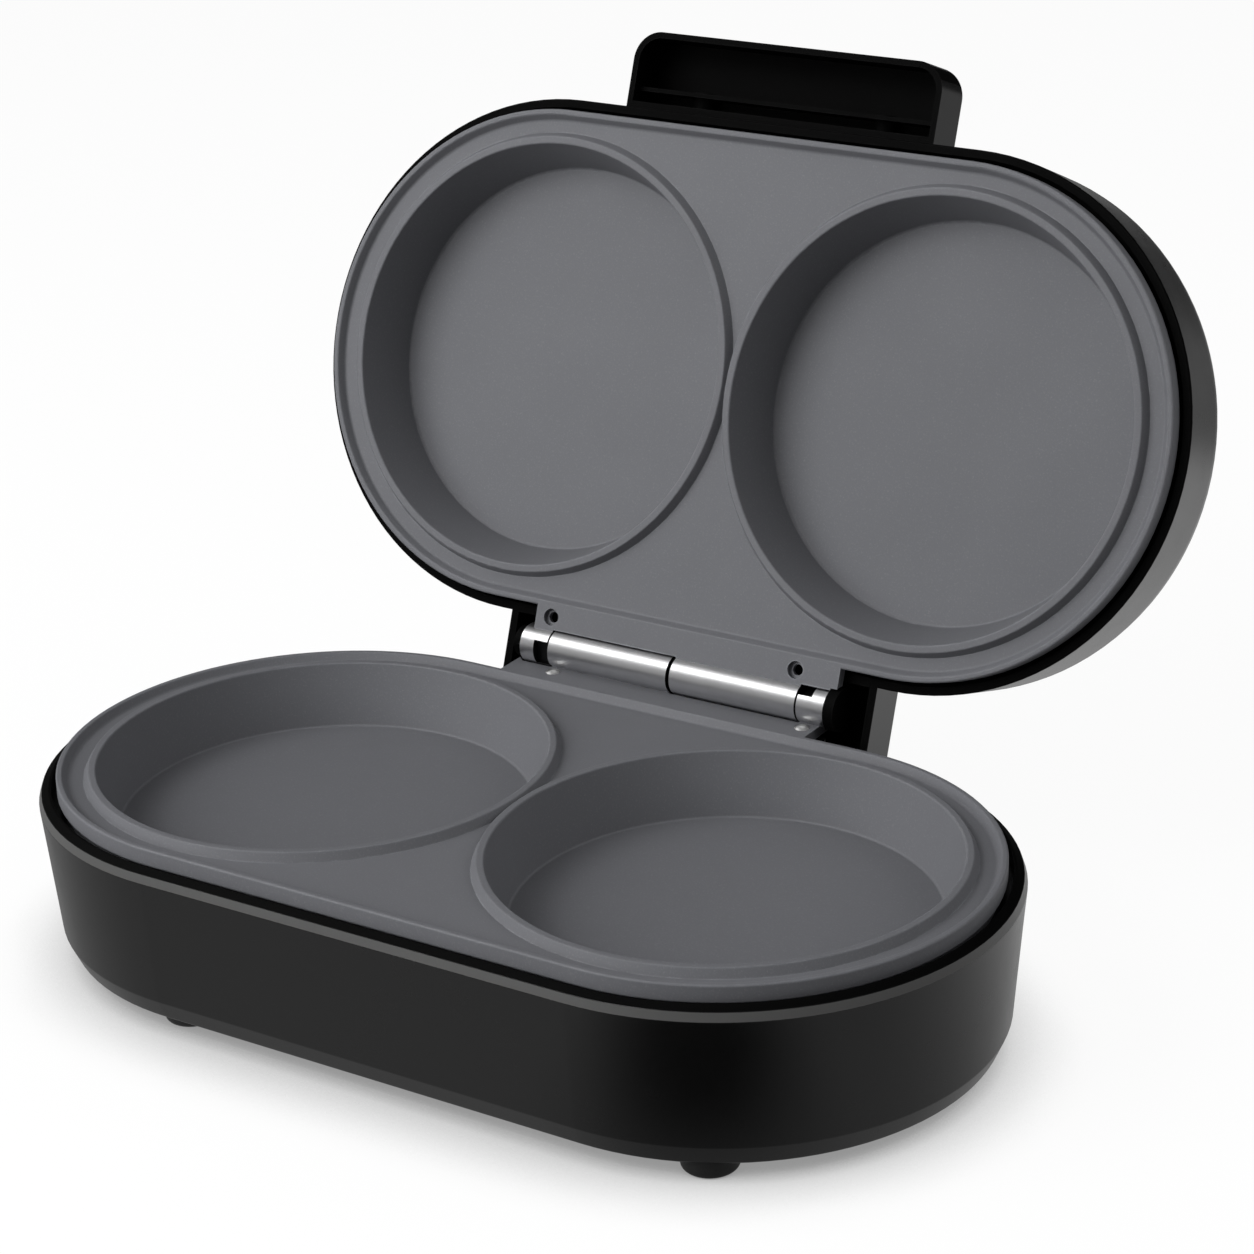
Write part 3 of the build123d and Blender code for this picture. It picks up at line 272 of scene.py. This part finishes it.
def dust_film():
    """Thin film of dust and finger marks: a broad noise that lifts roughness where it gathers."""
    tree, start, end = group(
        "Dust film", [("Amount", "NodeSocketFloat", 0.3)], [("Mask", "NodeSocketFloat")],
    )
    place = add(tree, "ShaderNodeTexCoord").outputs["Object"]
    broad = add(tree, "ShaderNodeTexNoise", {
        "Vector": place, "Scale": 22.0, "Detail": 5.0, "Distortion": 0.6,
    })
    smear = add(tree, "ShaderNodeTexNoise", {"Vector": place, "Scale": 140.0, "Detail": 2.0})
    both = maths(tree, "MULTIPLY", broad.outputs["Fac"], smear.outputs["Fac"])
    film = remap(tree, both, 0.2, 0.42)
    tree.links.new(maths(tree, "MULTIPLY", film, start.outputs["Amount"]), end.inputs["Mask"])
    return tree


def shared(builder):
    """The node group that a builder makes, built once."""
    found = bpy.data.node_groups.get(builder.__name__)
    if found is None:
        found = builder()
        found.name = builder.__name__
    return found


def place_group(tree, builder, inputs):
    node = tree.nodes.new("ShaderNodeGroup")
    node.node_tree = shared(builder)
    for name, value in inputs.items():
        node.inputs[name].default_value = value
    return node


def surface(name, **constants):
    """A new material with a Principled shader, whose named inputs take constants."""
    material = bpy.data.materials.new(name)
    material.use_nodes = True
    tree = material.node_tree
    tree.nodes.clear()
    shader = tree.nodes.new("ShaderNodeBsdfPrincipled")
    output = tree.nodes.new("ShaderNodeOutputMaterial")
    tree.links.new(shader.outputs["BSDF"], output.inputs["Surface"])
    for key, value in constants.items():
        shader.inputs[key.replace("_", " ")].default_value = value
    return material, tree, shader


def blend_colour(tree, factor, low, high):
    mix = add(tree, "ShaderNodeMix", {"Factor": factor}, data_type="RGBA")
    mix.inputs[6].default_value = (*low, 1.0)
    mix.inputs[7].default_value = (*high, 1.0)
    return mix.outputs[2]


def vary(tree, value, low, high):
    """A mask from 0 to 1 carried over to the range from low to high."""
    return remap(tree, value, 0.0, 1.0, low, high)


def bump(tree, height, distance, strength):
    sockets = {"Height": height, "Distance": distance, "Strength": strength}
    return add(tree, "ShaderNodeBump", sockets).outputs[0]


def casing_black(look, name, tint, roughness, shine):
    """Moulded plastic with a fine grain, paler edges that are partly rubbed wear and partly a painted
    highlight, and a thin film of dust.
    """
    material, tree, shader = surface(name, Specular_IOR_Level=shine)
    grain = place_group(tree, sprayed_grain, {"Grain size": look.grain, "Mottle size": 0.05})
    wear_highlight_mask = place_group(tree, edge_wear_and_highlight, {"Width": 0.0005, "Reach": 0.6})
    dust = place_group(tree, dust_film, {"Amount": 0.35})
    # Paler edges: partly rubbed wear, partly a painted highlight along rounded edges.
    paint = blend_colour(tree, wear_highlight_mask.outputs["Mask"], tint, tuple(3.0 * c + 0.004 for c in tint))
    tree.links.new(paint, shader.inputs["Base Color"])
    tree.links.new(vary(tree, dust.outputs["Mask"], roughness, roughness + 0.1), shader.inputs["Roughness"])
    tree.links.new(bump(tree, grain.outputs["Height"], 0.00003, 0.25), shader.inputs["Normal"])
    return material


def non_stick(look):
    """Sprayed coating: dark grey with fine paler flecks, a slow mottle, and paler edges that are partly
    rubbed wear and partly a painted highlight.
    """
    material, tree, shader = surface("Non-stick coating", Specular_IOR_Level=0.35)
    grain = place_group(tree, sprayed_grain, {"Grain size": look.grain, "Mottle size": 0.03})
    wear_highlight_mask = place_group(tree, edge_wear_and_highlight, {"Width": 0.0007, "Reach": 0.8})
    low, high = tuple(look.colour), tuple(look.fleck)
    flecked = blend_colour(tree, grain.outputs["Fleck"], low, high)
    slow = add(tree, "ShaderNodeMix", {"Factor": vary(tree, grain.outputs["Mottle"], 0.0, 0.3), 6: flecked},
               data_type="RGBA")
    slow.inputs[7].default_value = (*(0.8 * c for c in low), 1.0)
    # Paler edges: partly rubbed wear, partly a painted highlight along the rounded ridges and rings.
    edges_worn_and_lit = add(tree, "ShaderNodeMix", {"Factor": wear_highlight_mask.outputs["Mask"], 6: slow.outputs[2]}, data_type="RGBA")
    edges_worn_and_lit.inputs[7].default_value = (*(2.0 * c for c in low), 1.0)
    tree.links.new(edges_worn_and_lit.outputs[2], shader.inputs["Base Color"])
    rough = vary(tree, grain.outputs["Mottle"], look.roughness - 0.07, look.roughness + 0.09)
    tree.links.new(rough, shader.inputs["Roughness"])
    tree.links.new(bump(tree, grain.outputs["Height"], 0.00005, 0.35), shader.inputs["Normal"])
    return material


def turned_metal(name, tint, roughness, line=0.00025):
    """Machined metal with faint tool lines round the X axis and a slow change of gloss."""
    material, tree, shader = surface(name, Metallic=1.0)
    place = add(tree, "ShaderNodeTexCoord").outputs["Object"]
    stretch = add(tree, "ShaderNodeMapping", {"Vector": place, "Scale": (1.0, 0.02, 0.02)})
    fine = {"Vector": stretch.outputs[0], "Scale": 1.0 / line, "Detail": 2.0}
    lines = add(tree, "ShaderNodeTexNoise", fine)
    dust = place_group(tree, dust_film, {"Amount": 1.0})
    tone = blend_colour(tree, dust.outputs["Mask"], tint, tuple(0.92 * c for c in tint))
    tree.links.new(tone, shader.inputs["Base Color"])
    gloss = vary(tree, lines.outputs["Fac"], roughness - 0.01, roughness + 0.02)
    tree.links.new(gloss, shader.inputs["Roughness"])
    tree.links.new(bump(tree, lines.outputs["Fac"], 0.000003, 0.1), shader.inputs["Normal"])
    return material


def plated_metal(name, tint, roughness, grain=0.0006):
    """Plated or rolled metal with a fine crystalline mottle."""
    material, tree, shader = surface(name, Metallic=1.0)
    texture = place_group(tree, sprayed_grain, {"Grain size": grain, "Mottle size": 0.008})
    tone = blend_colour(tree, texture.outputs["Mottle"], tint, tuple(0.75 * c for c in tint))
    tree.links.new(tone, shader.inputs["Base Color"])
    tree.links.new(vary(tree, texture.outputs["Mottle"], roughness - 0.08, roughness + 0.12),
                   shader.inputs["Roughness"])
    tree.links.new(bump(tree, texture.outputs["Height"], 0.00002, 0.3), shader.inputs["Normal"])
    return material


def moulded(name, tint, roughness, grain=0.0005):
    """Plain moulded rubber or resin with a soft grain and dusty high spots."""
    material, tree, shader = surface(name)
    texture = place_group(tree, sprayed_grain, {"Grain size": grain, "Mottle size": 0.006})
    dust = place_group(tree, dust_film, {"Amount": 0.6})
    tone = blend_colour(tree, dust.outputs["Mask"], tint, tuple(min(1.0, 1.6 * c + 0.01) for c in tint))
    tree.links.new(tone, shader.inputs["Base Color"])
    tree.links.new(vary(tree, texture.outputs["Mottle"], roughness - 0.06, roughness + 0.08),
                   shader.inputs["Roughness"])
    tree.links.new(bump(tree, texture.outputs["Height"], 0.00005, 0.5), shader.inputs["Normal"])
    return material


def tinted_lens(name, tint):
    """Clear tinted plastic with a faint moulding ripple."""
    material, tree, shader = surface(name, Transmission_Weight=0.85, IOR=1.49)
    texture = place_group(tree, sprayed_grain, {"Grain size": 0.0012, "Mottle size": 0.004})
    tree.links.new(blend_colour(tree, texture.outputs["Mottle"], tint, tuple(0.8 * c for c in tint)),
                   shader.inputs["Base Color"])
    tree.links.new(vary(tree, texture.outputs["Mottle"], 0.08, 0.16), shader.inputs["Roughness"])
    tree.links.new(bump(tree, texture.outputs["Height"], 0.00003, 0.25), shader.inputs["Normal"])
    return material


def dress(material, *nodes):
    """Gives whole CAD nodes one finish."""
    for name in nodes:
        slots = NODES[name].data.materials
        slots.clear()
        slots.append(material)


def polygon_values(mesh, what):
    """Each polygon's centre or normal, as rows of an array."""
    flat = np.empty(len(mesh.polygons) * 3)
    mesh.polygons.foreach_get(what, flat)
    return flat.reshape(-1, 3)


def split_finish(name, chosen, material):
    """Gives the chosen polygons of a dressed CAD node one more finish."""
    mesh = NODES[name].data
    mesh.materials.append(material)
    slots = np.zeros(len(mesh.polygons), np.int32)
    mesh.polygons.foreach_get("material_index", slots)
    slots[chosen] = len(mesh.materials) - 1
    mesh.polygons.foreach_set("material_index", slots)


def lid_depth(rows):
    """How far each row points or lies behind the lid plate's plane, at rest."""
    return rows[:, 1] * math.cos(LID_LEAN) - rows[:, 2] * math.sin(LID_LEAN)


def lid_rise(rows):
    """How far each row points or lies up the lid plate, at rest."""
    return rows[:, 1] * math.sin(LID_LEAN) + rows[:, 2] * math.cos(LID_LEAN)


# New pieces
def closed_mesh(name, points, faces, material, body, replaced):
    """A piece from arrays of corners and faces, smooth shaded, that stands for a CAD node."""
    mesh = bpy.data.meshes.new(name)
    mesh.from_pydata(points.tolist(), [], faces.tolist())
    mesh.polygons.foreach_set("use_smooth", np.ones(len(mesh.polygons), bool))
    mesh.materials.append(material)
    mesh.set_sharp_from_angle(angle=math.radians(40.0))
    mesh.validate()
    piece = bpy.data.objects.new(name, mesh)
    bpy.context.scene.collection.objects.link(piece)
    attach(piece, body)
    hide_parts(replaced)
    return piece


def turned_grid(profile, turns, sink=None):
    """Surface of revolution round Z: corner (i, j) is (r_i cos a_j, r_i sin a_j, z_i), a_j = 2 pi j / turns.

    The profile runs from its pole at the bottom, outwards and up to its pole at the top, so faces point out.
    Both poles have a radius of nought and become one corner each. sink(corners) is a height added to each.
    """
    radius, height = np.asarray(profile, float).T
    angle = np.arange(turns) * 2.0 * math.pi / turns
    x = radius[1:-1, None] * np.cos(angle)
    y = radius[1:-1, None] * np.sin(angle)
    z = np.repeat(height[1:-1, None], turns, axis=1)
    ring = np.stack((x, y, z), axis=-1).reshape(-1, 3)
    corners = np.vstack(((0.0, 0.0, height[0]), ring, (0.0, 0.0, height[-1])))
    if sink is not None:
        corners[:, 2] += sink(corners)
    rows = len(radius) - 2
    start = 1 + np.arange(rows - 1)[:, None] * turns
    here, after = np.arange(turns)[None, :], np.roll(np.arange(turns), -1)[None, :]
    low_a, low_b = (start + here).ravel(), (start + after).ravel()
    quads = np.stack((low_a, low_b, low_b + turns, low_a + turns), axis=-1)
    first, last = 0, len(corners) - 1
    under, above = 1 + np.arange(turns), 1 + (rows - 1) * turns + np.arange(turns)
    lower = np.stack((np.full(turns, first), np.roll(under, -1), under), axis=-1)
    upper = np.stack((np.full(turns, last), above, np.roll(above, -1)), axis=-1)
    triangles = np.vstack((quads[:, [0, 1, 2]], quads[:, [0, 2, 3]], lower, upper))
    return corners, triangles


def arc(centre, radius, start, end, steps):
    """Points on a circle of the profile plane: centre + radius (cos t, sin t), t from start to end."""
    turn = np.radians(np.linspace(start, end, steps))
    return np.stack((centre[0] + radius * np.cos(turn), centre[1] + radius * np.sin(turn)), axis=-1)


def foot_profile(radius, height, edge, tread):
    """Half section of a foot: a sole with rings cut by a raised cosine, a rounded edge, a tapered side."""
    across = np.linspace(0.0, radius - edge - 0.1 * MM, 64)
    rings = tread * 0.5 * (1.0 - np.cos(across / (radius - edge) * 10.0 * math.pi))
    sole = np.stack((across, rings), axis=-1)
    lower = arc((radius - edge - 0.1 * MM, edge), edge, -90.0, 0.0, 10)
    side = np.array([(radius, height - 0.5 * MM)])
    upper = arc((radius - 0.3 * MM, height - 0.3 * MM), 0.3 * MM, 0.0, 90.0, 5)
    return np.vstack((sole, lower, side, upper, [(0.0, height)]))


def screw_profile(shank, head, head_height, length):
    """Half section of a screw that points up: a low domed head below, a bevelled neck, and ridged thread."""
    turn = np.linspace(0.0, 0.5 * math.pi, 40)
    dome = np.stack((head * np.sin(turn), head_height * 0.75 * (1.0 - np.cos(turn))), axis=-1)
    seat = np.array([(head, head_height - 0.1 * MM), (head - 0.1 * MM, head_height), (shank, head_height)])
    rise = np.linspace(head_height + 0.2 * MM, length - 1.2 * MM, 60)
    thread = shank - 0.12 * MM * (1.0 - np.cos((rise - rise[0]) / (0.8 * MM) * 2.0 * math.pi))
    tip = np.array([(0.35 * shank, length - 0.1 * MM), (0.0, length)])
    return np.vstack((dome, seat, np.stack((thread, rise), axis=-1), tip))


def cross_recess(reach, width, depth, head_height):
    """Lift of a head's underside that cuts a cross: full depth where an arm's half width holds the corner.

    Each arm's floor rises towards its end as 1 - (r / reach) squared, and corners above the head stay put.
    """
    def sink(corners):
        across = np.minimum(np.abs(corners[:, 0]), np.abs(corners[:, 1]))
        radius = np.hypot(corners[:, 0], corners[:, 1])
        floor = np.clip(1.0 - (radius / reach) ** 2, 0.0, 1.0)
        arm = np.clip((width - across) / (0.25 * width), 0.0, 1.0)
        return np.where(corners[:, 2] < 0.9 * head_height, depth * arm * floor, 0.0)
    return sink


def islands(name):
    """Lowest and highest corners of each loose solid of a CAD node, left to right."""
    mesh = NODES[name].data
    flat = np.empty(len(mesh.vertices) * 3)
    mesh.vertices.foreach_get("co", flat)
    points = flat.reshape(-1, 3)
    order = np.argsort(points[:, 0])
    points = points[order]
    cuts = np.flatnonzero(np.diff(points[:, 0]) > 20.0 * MM) + 1
    found = []
    for column in np.split(points, cuts):
        column = column[np.argsort(column[:, 1])]
        rows = np.flatnonzero(np.diff(column[:, 1]) > 20.0 * MM) + 1
        found += [(solid.min(axis=0), solid.max(axis=0)) for solid in np.split(column, rows)]
    return found


class OMELETTE_OT_casings(bpy.types.Operator):
    """Finish the casings, bottom cover, handle and hinge caps"""
    bl_idname = "omelette.casings"
    bl_label = "Casings"

    def execute(self, context):
        look = context.scene.omelette_casing
        tint = tuple(look.colour)
        outside = casing_black(look, "Casing black", tint, look.roughness, 0.62)
        # A darker, less glossy copy of the casing black: painted shade on the cover, the hinge caps, the
        # rim's level top and the lid's and grip's inner and forward faces.
        inside = casing_black(look, "Inside black painted shade", tuple(look.painted_shade_colour), look.inside, 0.06)
        band = casing_black(look, "Rim band painted highlight", tuple(look.band), look.roughness + 0.14, 0.5)
        dress(outside, "base_shell", "lid_shell", "lid_handle")
        dress(inside, "base_bottom_cover", "hinge_cap_left", "hinge_cap_right")

        mesh = NODES["base_shell"].data
        place = polygon_values(mesh, "center")
        beside = np.maximum(np.abs(place[:, 0]) - HALF_PITCH, 0.0)
        reach = np.hypot(beside, place[:, 1] - BASE_MIDDLE_Y)
        # Painted highlight: the chamfer band on the outer skin gets the paler colour.
        painted_highlight_band = (place[:, 2] > RIM_BAND[0]) & (place[:, 2] < RIM_BAND[1]) & (reach > RIM_SKIN)
        split_finish("base_shell", painted_highlight_band, band)
        level = polygon_values(mesh, "normal")[:, 2] > FACES_UP
        split_finish("base_shell", level & (place[:, 2] > RIM_BAND[1]), inside)

        # Painted shade on the lid's forward faces and on the grip's hollow and front.
        ahead = -lid_depth(polygon_values(NODES["lid_shell"].data, "normal"))
        split_finish("lid_shell", ahead > LID_FACES_AHEAD, inside)
        mesh = NODES["lid_handle"].data
        place = polygon_values(mesh, "center")
        rise, depth = lid_rise(place), lid_depth(place)
        hollow = np.abs(place[:, 0]) < np.abs(place[:, 0]).max() - HANDLE_SKIN
        hollow &= (rise < rise.max() - HANDLE_SKIN) & (depth < depth.max() - HANDLE_SKIN)
        ahead = -lid_depth(polygon_values(mesh, "normal"))
        split_finish("lid_handle", hollow | (ahead > GRIP_FACES_AHEAD), inside)
        return {"FINISHED"}


class OMELETTE_OT_plates(bpy.types.Operator):
    """Coat the two cooking plates, leave their hinge barrels bare, and paint shade into the barrels' bores
    and seams
    """
    bl_idname = "omelette.plates"
    bl_label = "Cooking plates"

    def execute(self, context):
        scene = context.scene
        coating = non_stick(scene.omelette_coating)
        bare = turned_metal("Bare barrels", tuple(scene.omelette_metal.barrel), 0.34)
        painted_seam_shade = plated_metal("Bores and seams painted shade", tuple(scene.omelette_metal.dark), 0.5)
        _, pin_y, pin_z = HINGE["pos_m"]
        for name in ("lower_cooking_plate", "upper_cooking_plate"):
            dress(coating, name)
            place = polygon_values(NODES[name].data, "center")
            reach = np.hypot(place[:, 1] - pin_y, place[:, 2] - pin_z)
            split_finish(name, (reach < BARREL_REACH) & (reach > BARREL_SKIN), bare)
            # Painted shade: the bores and the knuckles' end faces at the seams are painted near black.
            split_finish(name, reach <= BARREL_SKIN, painted_seam_shade)
        return {"FINISHED"}


class OMELETTE_OT_hardware(bpy.types.Operator):
    """Finish the pin, screws, clips, elements and reflectors"""
    bl_idname = "omelette.hardware"
    bl_label = "Hardware"

    def execute(self, context):
        look = context.scene.omelette_metal
        plated = plated_metal("Plated steel", tuple(look.plated), 0.3)
        dress(plated_metal("Satin steel", tuple(look.satin), 0.42), "lower_flange_screws")
        dress(plated, "lower_plate_screws", "upper_plate_screws", "lower_element_clips",
              "upper_element_clips", "lower_heat_reflector")
        dress(plated_metal("Dark steel", tuple(look.dark), 0.4), "hinge_pin", "handle_screws")
        dress(plated_metal("Element sheath", tuple(look.sheath), 0.42), "lower_heating_element",
              "upper_heating_element")
        dress(plated_metal("Reflector sheet", tuple(look.sheet), 0.25), "upper_heat_reflector")
        return {"FINISHED"}


class OMELETTE_OT_small_parts(bpy.types.Operator):
    """Finish the cord bush, controls and lamps"""
    bl_idname = "omelette.small_parts"
    bl_label = "Small parts"

    def execute(self, context):
        look = context.scene.omelette_small
        dress(moulded("Bush rubber", tuple(look.rubber), 0.55), "cord_inlet_bush")
        dress(moulded("Brown resin", tuple(look.resin), 0.45), "thermostat", "thermal_fuse")
        dress(moulded("Pale resin", tuple(look.pale), 0.5), "terminal_block", "lamp_board")
        dress(tinted_lens("Red lens", tuple(look.red)), "power_lamp_lens")
        dress(tinted_lens("Green lens", tuple(look.green)), "ready_lamp_lens")
        return {"FINISHED"}


class OMELETTE_OT_feet(bpy.types.Operator):
    """Turn the four rubber feet, with rings under their soles"""
    bl_idname = "omelette.feet"
    bl_label = "Feet"

    def execute(self, context):
        look = context.scene.omelette_small
        rubber = moulded("Black rubber", tuple(look.rubber), 0.5)
        for name in ("foot_front_left", "foot_front_right", "foot_rear_left", "foot_rear_right"):
            low, high = (np.array(corner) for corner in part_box(name))
            size = high - low
            profile = foot_profile(0.5 * size[0], size[2], 1.6 * MM, look.tread)
            corners, faces = turned_grid(profile, look.turns)
            middle = 0.5 * (low + high)
            corners += (middle[0], middle[1], low[2])
            closed_mesh(name.replace("foot", "turned_foot"), corners, faces, rubber, "base", name)
        return {"FINISHED"}


class OMELETTE_OT_cover_screws(bpy.types.Operator):
    """Cut the bottom cover's screws, with a cross in each head and a ridged thread"""
    bl_idname = "omelette.cover_screws"
    bl_label = "Cover screws"

    def execute(self, context):
        scene = context.scene
        steel = plated_metal("Screw steel", tuple(scene.omelette_metal.plated), 0.3)
        solids = islands("bottom_cover_screws")
        if len(solids) != 4:
            raise RuntimeError("the bottom cover should have four screws")
        all_corners, all_faces, count = [], [], 0
        for low, high in solids:
            size = high - low
            head, rise = 0.5 * size[0], 1.9 * MM
            profile = screw_profile(0.45 * head, head, rise, size[2])
            recess = cross_recess(0.62 * head, 0.13 * head, scene.omelette_small.recess, rise)
            corners, faces = turned_grid(profile, scene.omelette_small.turns, recess)
            middle = 0.5 * (low + high)
            all_corners.append(corners + (middle[0], middle[1], low[2]))
            all_faces.append(faces + count)
            count += len(corners)
        closed_mesh("cross_head_cover_screws", np.vstack(all_corners), np.vstack(all_faces), steel, "base",
                    "bottom_cover_screws")
        return {"FINISHED"}


# Studio
def camera_turn():
    """Rotation whose columns are the view's right, up and backward directions."""
    down, turn, roll = CAMERA_DOWN, CAMERA_ROUND, CAMERA_ROLL
    ahead = Vector((-math.sin(turn) * math.cos(down), math.cos(turn) * math.cos(down), -math.sin(down)))
    right = Vector((math.cos(turn), math.sin(turn), 0.0))
    up = right.cross(ahead)
    level_right = right * math.cos(roll) + up * math.sin(roll)
    level_up = up * math.cos(roll) - right * math.sin(roll)
    return Matrix((level_right, level_up, -ahead)).transposed()


def area_lamp(name, place, size, watts, mirrored=True):
    """A rectangular lamp that points at the target. One that isn't mirrored lights, but shows in no gloss."""
    lamp = bpy.data.lights.new(name, "AREA")
    lamp.shape = "RECTANGLE"
    lamp.size, lamp.size_y = size
    lamp.energy = watts
    item = bpy.data.objects.new(name, lamp)
    item.location = place
    item.rotation_euler = (Vector(LAMP_TARGET) - Vector(place)).to_track_quat("-Z", "Y").to_euler()
    item.visible_glossy = mirrored
    bpy.context.scene.collection.objects.link(item)


def seen_directly(tree, path):
    """1 for rays from the camera and rays that pass through a lens."""
    return maths(tree, "MAXIMUM", path.outputs["Is Camera Ray"], path.outputs["Is Transmission Ray"])


def studio_world(sky):
    """White to the eye, a dim room in gloss that darkens towards the back, and an even light on all else."""
    world = bpy.data.worlds.new("Studio")
    world.use_nodes = True
    tree = world.node_tree
    tree.nodes.clear()
    path = add(tree, "ShaderNodeLightPath")
    toward = add(tree, "ShaderNodeSeparateXYZ", {0: add(tree, "ShaderNodeTexCoord").outputs["Generated"]})
    room = remap(tree, toward.outputs["Y"], *ROOM_SPAN, *ROOM_LEVEL)
    unseen = add(tree, "ShaderNodeMix", {0: path.outputs["Is Glossy Ray"], 2: sky, 3: room})
    level = add(tree, "ShaderNodeMix", {0: seen_directly(tree, path), 2: unseen.outputs[0], 3: 1.0})
    shine = add(tree, "ShaderNodeBackground", {"Color": (1.0, 1.0, 1.0, 1.0), "Strength": level.outputs[0]})
    output = tree.nodes.new("ShaderNodeOutputWorld")
    tree.links.new(shine.outputs[0], output.inputs["Surface"])
    return world


def spot(tree, place, centre, inner, outer, levels):
    """The second level near a point of the floor, fading to the first between the two radii."""
    away = add(tree, "ShaderNodeVectorMath", {0: place, 1: (*centre, 0.0)}, operation="DISTANCE")
    near = remap(tree, away.outputs["Value"], outer, inner, interpolation_type="SMOOTHSTEP")
    return vary(tree, near, *levels)


def studio_floor(tint):
    """White floor with the object's soft shadow, and its own light and dark cards where gloss mirrors it."""
    material = bpy.data.materials.new("Pale floor")
    material.use_nodes = True
    tree = material.node_tree
    tree.nodes.clear()
    path = add(tree, "ShaderNodeLightPath")
    place = add(tree, "ShaderNodeTexCoord").outputs["Object"]
    white = (1.0, 1.0, 1.0, 1.0)
    lit = add(tree, "ShaderNodeBsdfDiffuse", {"Color": (*tint, 1.0)})
    dull = add(tree, "ShaderNodeBsdfDiffuse", {"Color": (*FLOOR_BOUNCE, 1.0)})
    contact = add(tree, "ShaderNodeAmbientOcclusion", {"Distance": SHADOW_REACH}, samples=8)
    soft = remap(tree, contact.outputs["AO"], *SHADOW_SPAN, SHADOW_DEPTH)
    plain = add(tree, "ShaderNodeEmission", {"Color": white, "Strength": soft})
    eye = add(tree, "ShaderNodeMixShader", {0: PLAIN_SHARE, 1: lit.outputs[0], 2: plain.outputs[0]})
    card = maths(tree, "MULTIPLY", spot(tree, place, *PALE_CARD), spot(tree, place, *DARK_CARD))
    mirrored = add(tree, "ShaderNodeEmission", {"Color": white, "Strength": card})
    sides = {0: path.outputs["Is Glossy Ray"], 1: dull.outputs[0], 2: mirrored.outputs[0]}
    unseen = add(tree, "ShaderNodeMixShader", sides)
    whole = {0: seen_directly(tree, path), 1: unseen.outputs[0], 2: eye.outputs[0]}
    output = tree.nodes.new("ShaderNodeOutputMaterial")
    tree.links.new(add(tree, "ShaderNodeMixShader", whole).outputs[0], output.inputs["Surface"])
    return material


class OMELETTE_OT_studio(bpy.types.Operator):
    """Set up the floor, lamps, sky and camera"""
    bl_idname = "omelette.studio"
    bl_label = "Studio"

    def execute(self, context):
        scene = context.scene
        setup = scene.omelette_studio
        mesh = bpy.data.meshes.new("studio_floor")
        half = FLOOR_HALF
        square = [(-half, -half, 0), (half, -half, 0), (half, half, 0), (-half, half, 0)]
        mesh.from_pydata(square, [], [(0, 1, 2, 3)])
        floor = bpy.data.objects.new("studio_floor", mesh)
        mesh.materials.append(studio_floor(tuple(setup.floor)))
        scene.collection.objects.link(floor)

        area_lamp("key_lamp", *KEY_LAMP, setup.key, mirrored=False)
        area_lamp("strip_lamp", *STRIP_LAMP, setup.strip)
        area_lamp("top_lamp", *TOP_LAMP, setup.top, mirrored=False)
        area_lamp("fill_lamp", *FILL_LAMP, setup.fill, mirrored=False)
        scene.world = studio_world(setup.sky)
        scene.view_settings.view_transform = "Standard"

        lens = bpy.data.cameras.new("photo_camera")
        lens.lens = CAMERA_LENS
        lens.sensor_width = CAMERA_SENSOR
        lens.sensor_fit = "HORIZONTAL"
        lens.shift_x, lens.shift_y = CAMERA_SHIFT
        lens.clip_start = 0.05
        camera = bpy.data.objects.new("photo_camera", lens)
        camera.location = CAMERA_PLACE
        camera.rotation_euler = camera_turn().to_euler()
        scene.collection.objects.link(camera)
        scene.camera = camera
        return {"FINISHED"}


OPERATORS = (
    OMELETTE_OT_studio, OMELETTE_OT_casings, OMELETTE_OT_plates, OMELETTE_OT_hardware,
    OMELETTE_OT_small_parts, OMELETTE_OT_feet, OMELETTE_OT_cover_screws,
)


class OMELETTE_PT_parts(bpy.types.Panel):
    """Steps that dress the omelette maker"""
    bl_idname = "OMELETTE_PT_parts"
    bl_label = "Omelette maker"
    bl_space_type = "VIEW_3D"
    bl_region_type = "UI"
    bl_category = "Omelette"

    def draw(self, context):
        for operator in OPERATORS:
            self.layout.operator(operator.bl_idname, text=operator.bl_label)


def register():
    for look in LOOKS.values():
        bpy.utils.register_class(look)
    for name, look in LOOKS.items():
        setattr(bpy.types.Scene, name, PointerProperty(type=look))
    for item in (*OPERATORS, OMELETTE_PT_parts):
        bpy.utils.register_class(item)


def unregister():
    for item in reversed((*OPERATORS, OMELETTE_PT_parts)):
        bpy.utils.unregister_class(item)
    for name, look in LOOKS.items():
        delattr(bpy.types.Scene, name)
        bpy.utils.unregister_class(look)


def main():
    register()
    bpy.ops.omelette.studio()
    bpy.ops.omelette.casings()
    bpy.ops.omelette.plates()
    bpy.ops.omelette.hardware()
    bpy.ops.omelette.small_parts()
    bpy.ops.omelette.feet()
    bpy.ops.omelette.cover_screws()


if __name__ == "__main__":
    main()
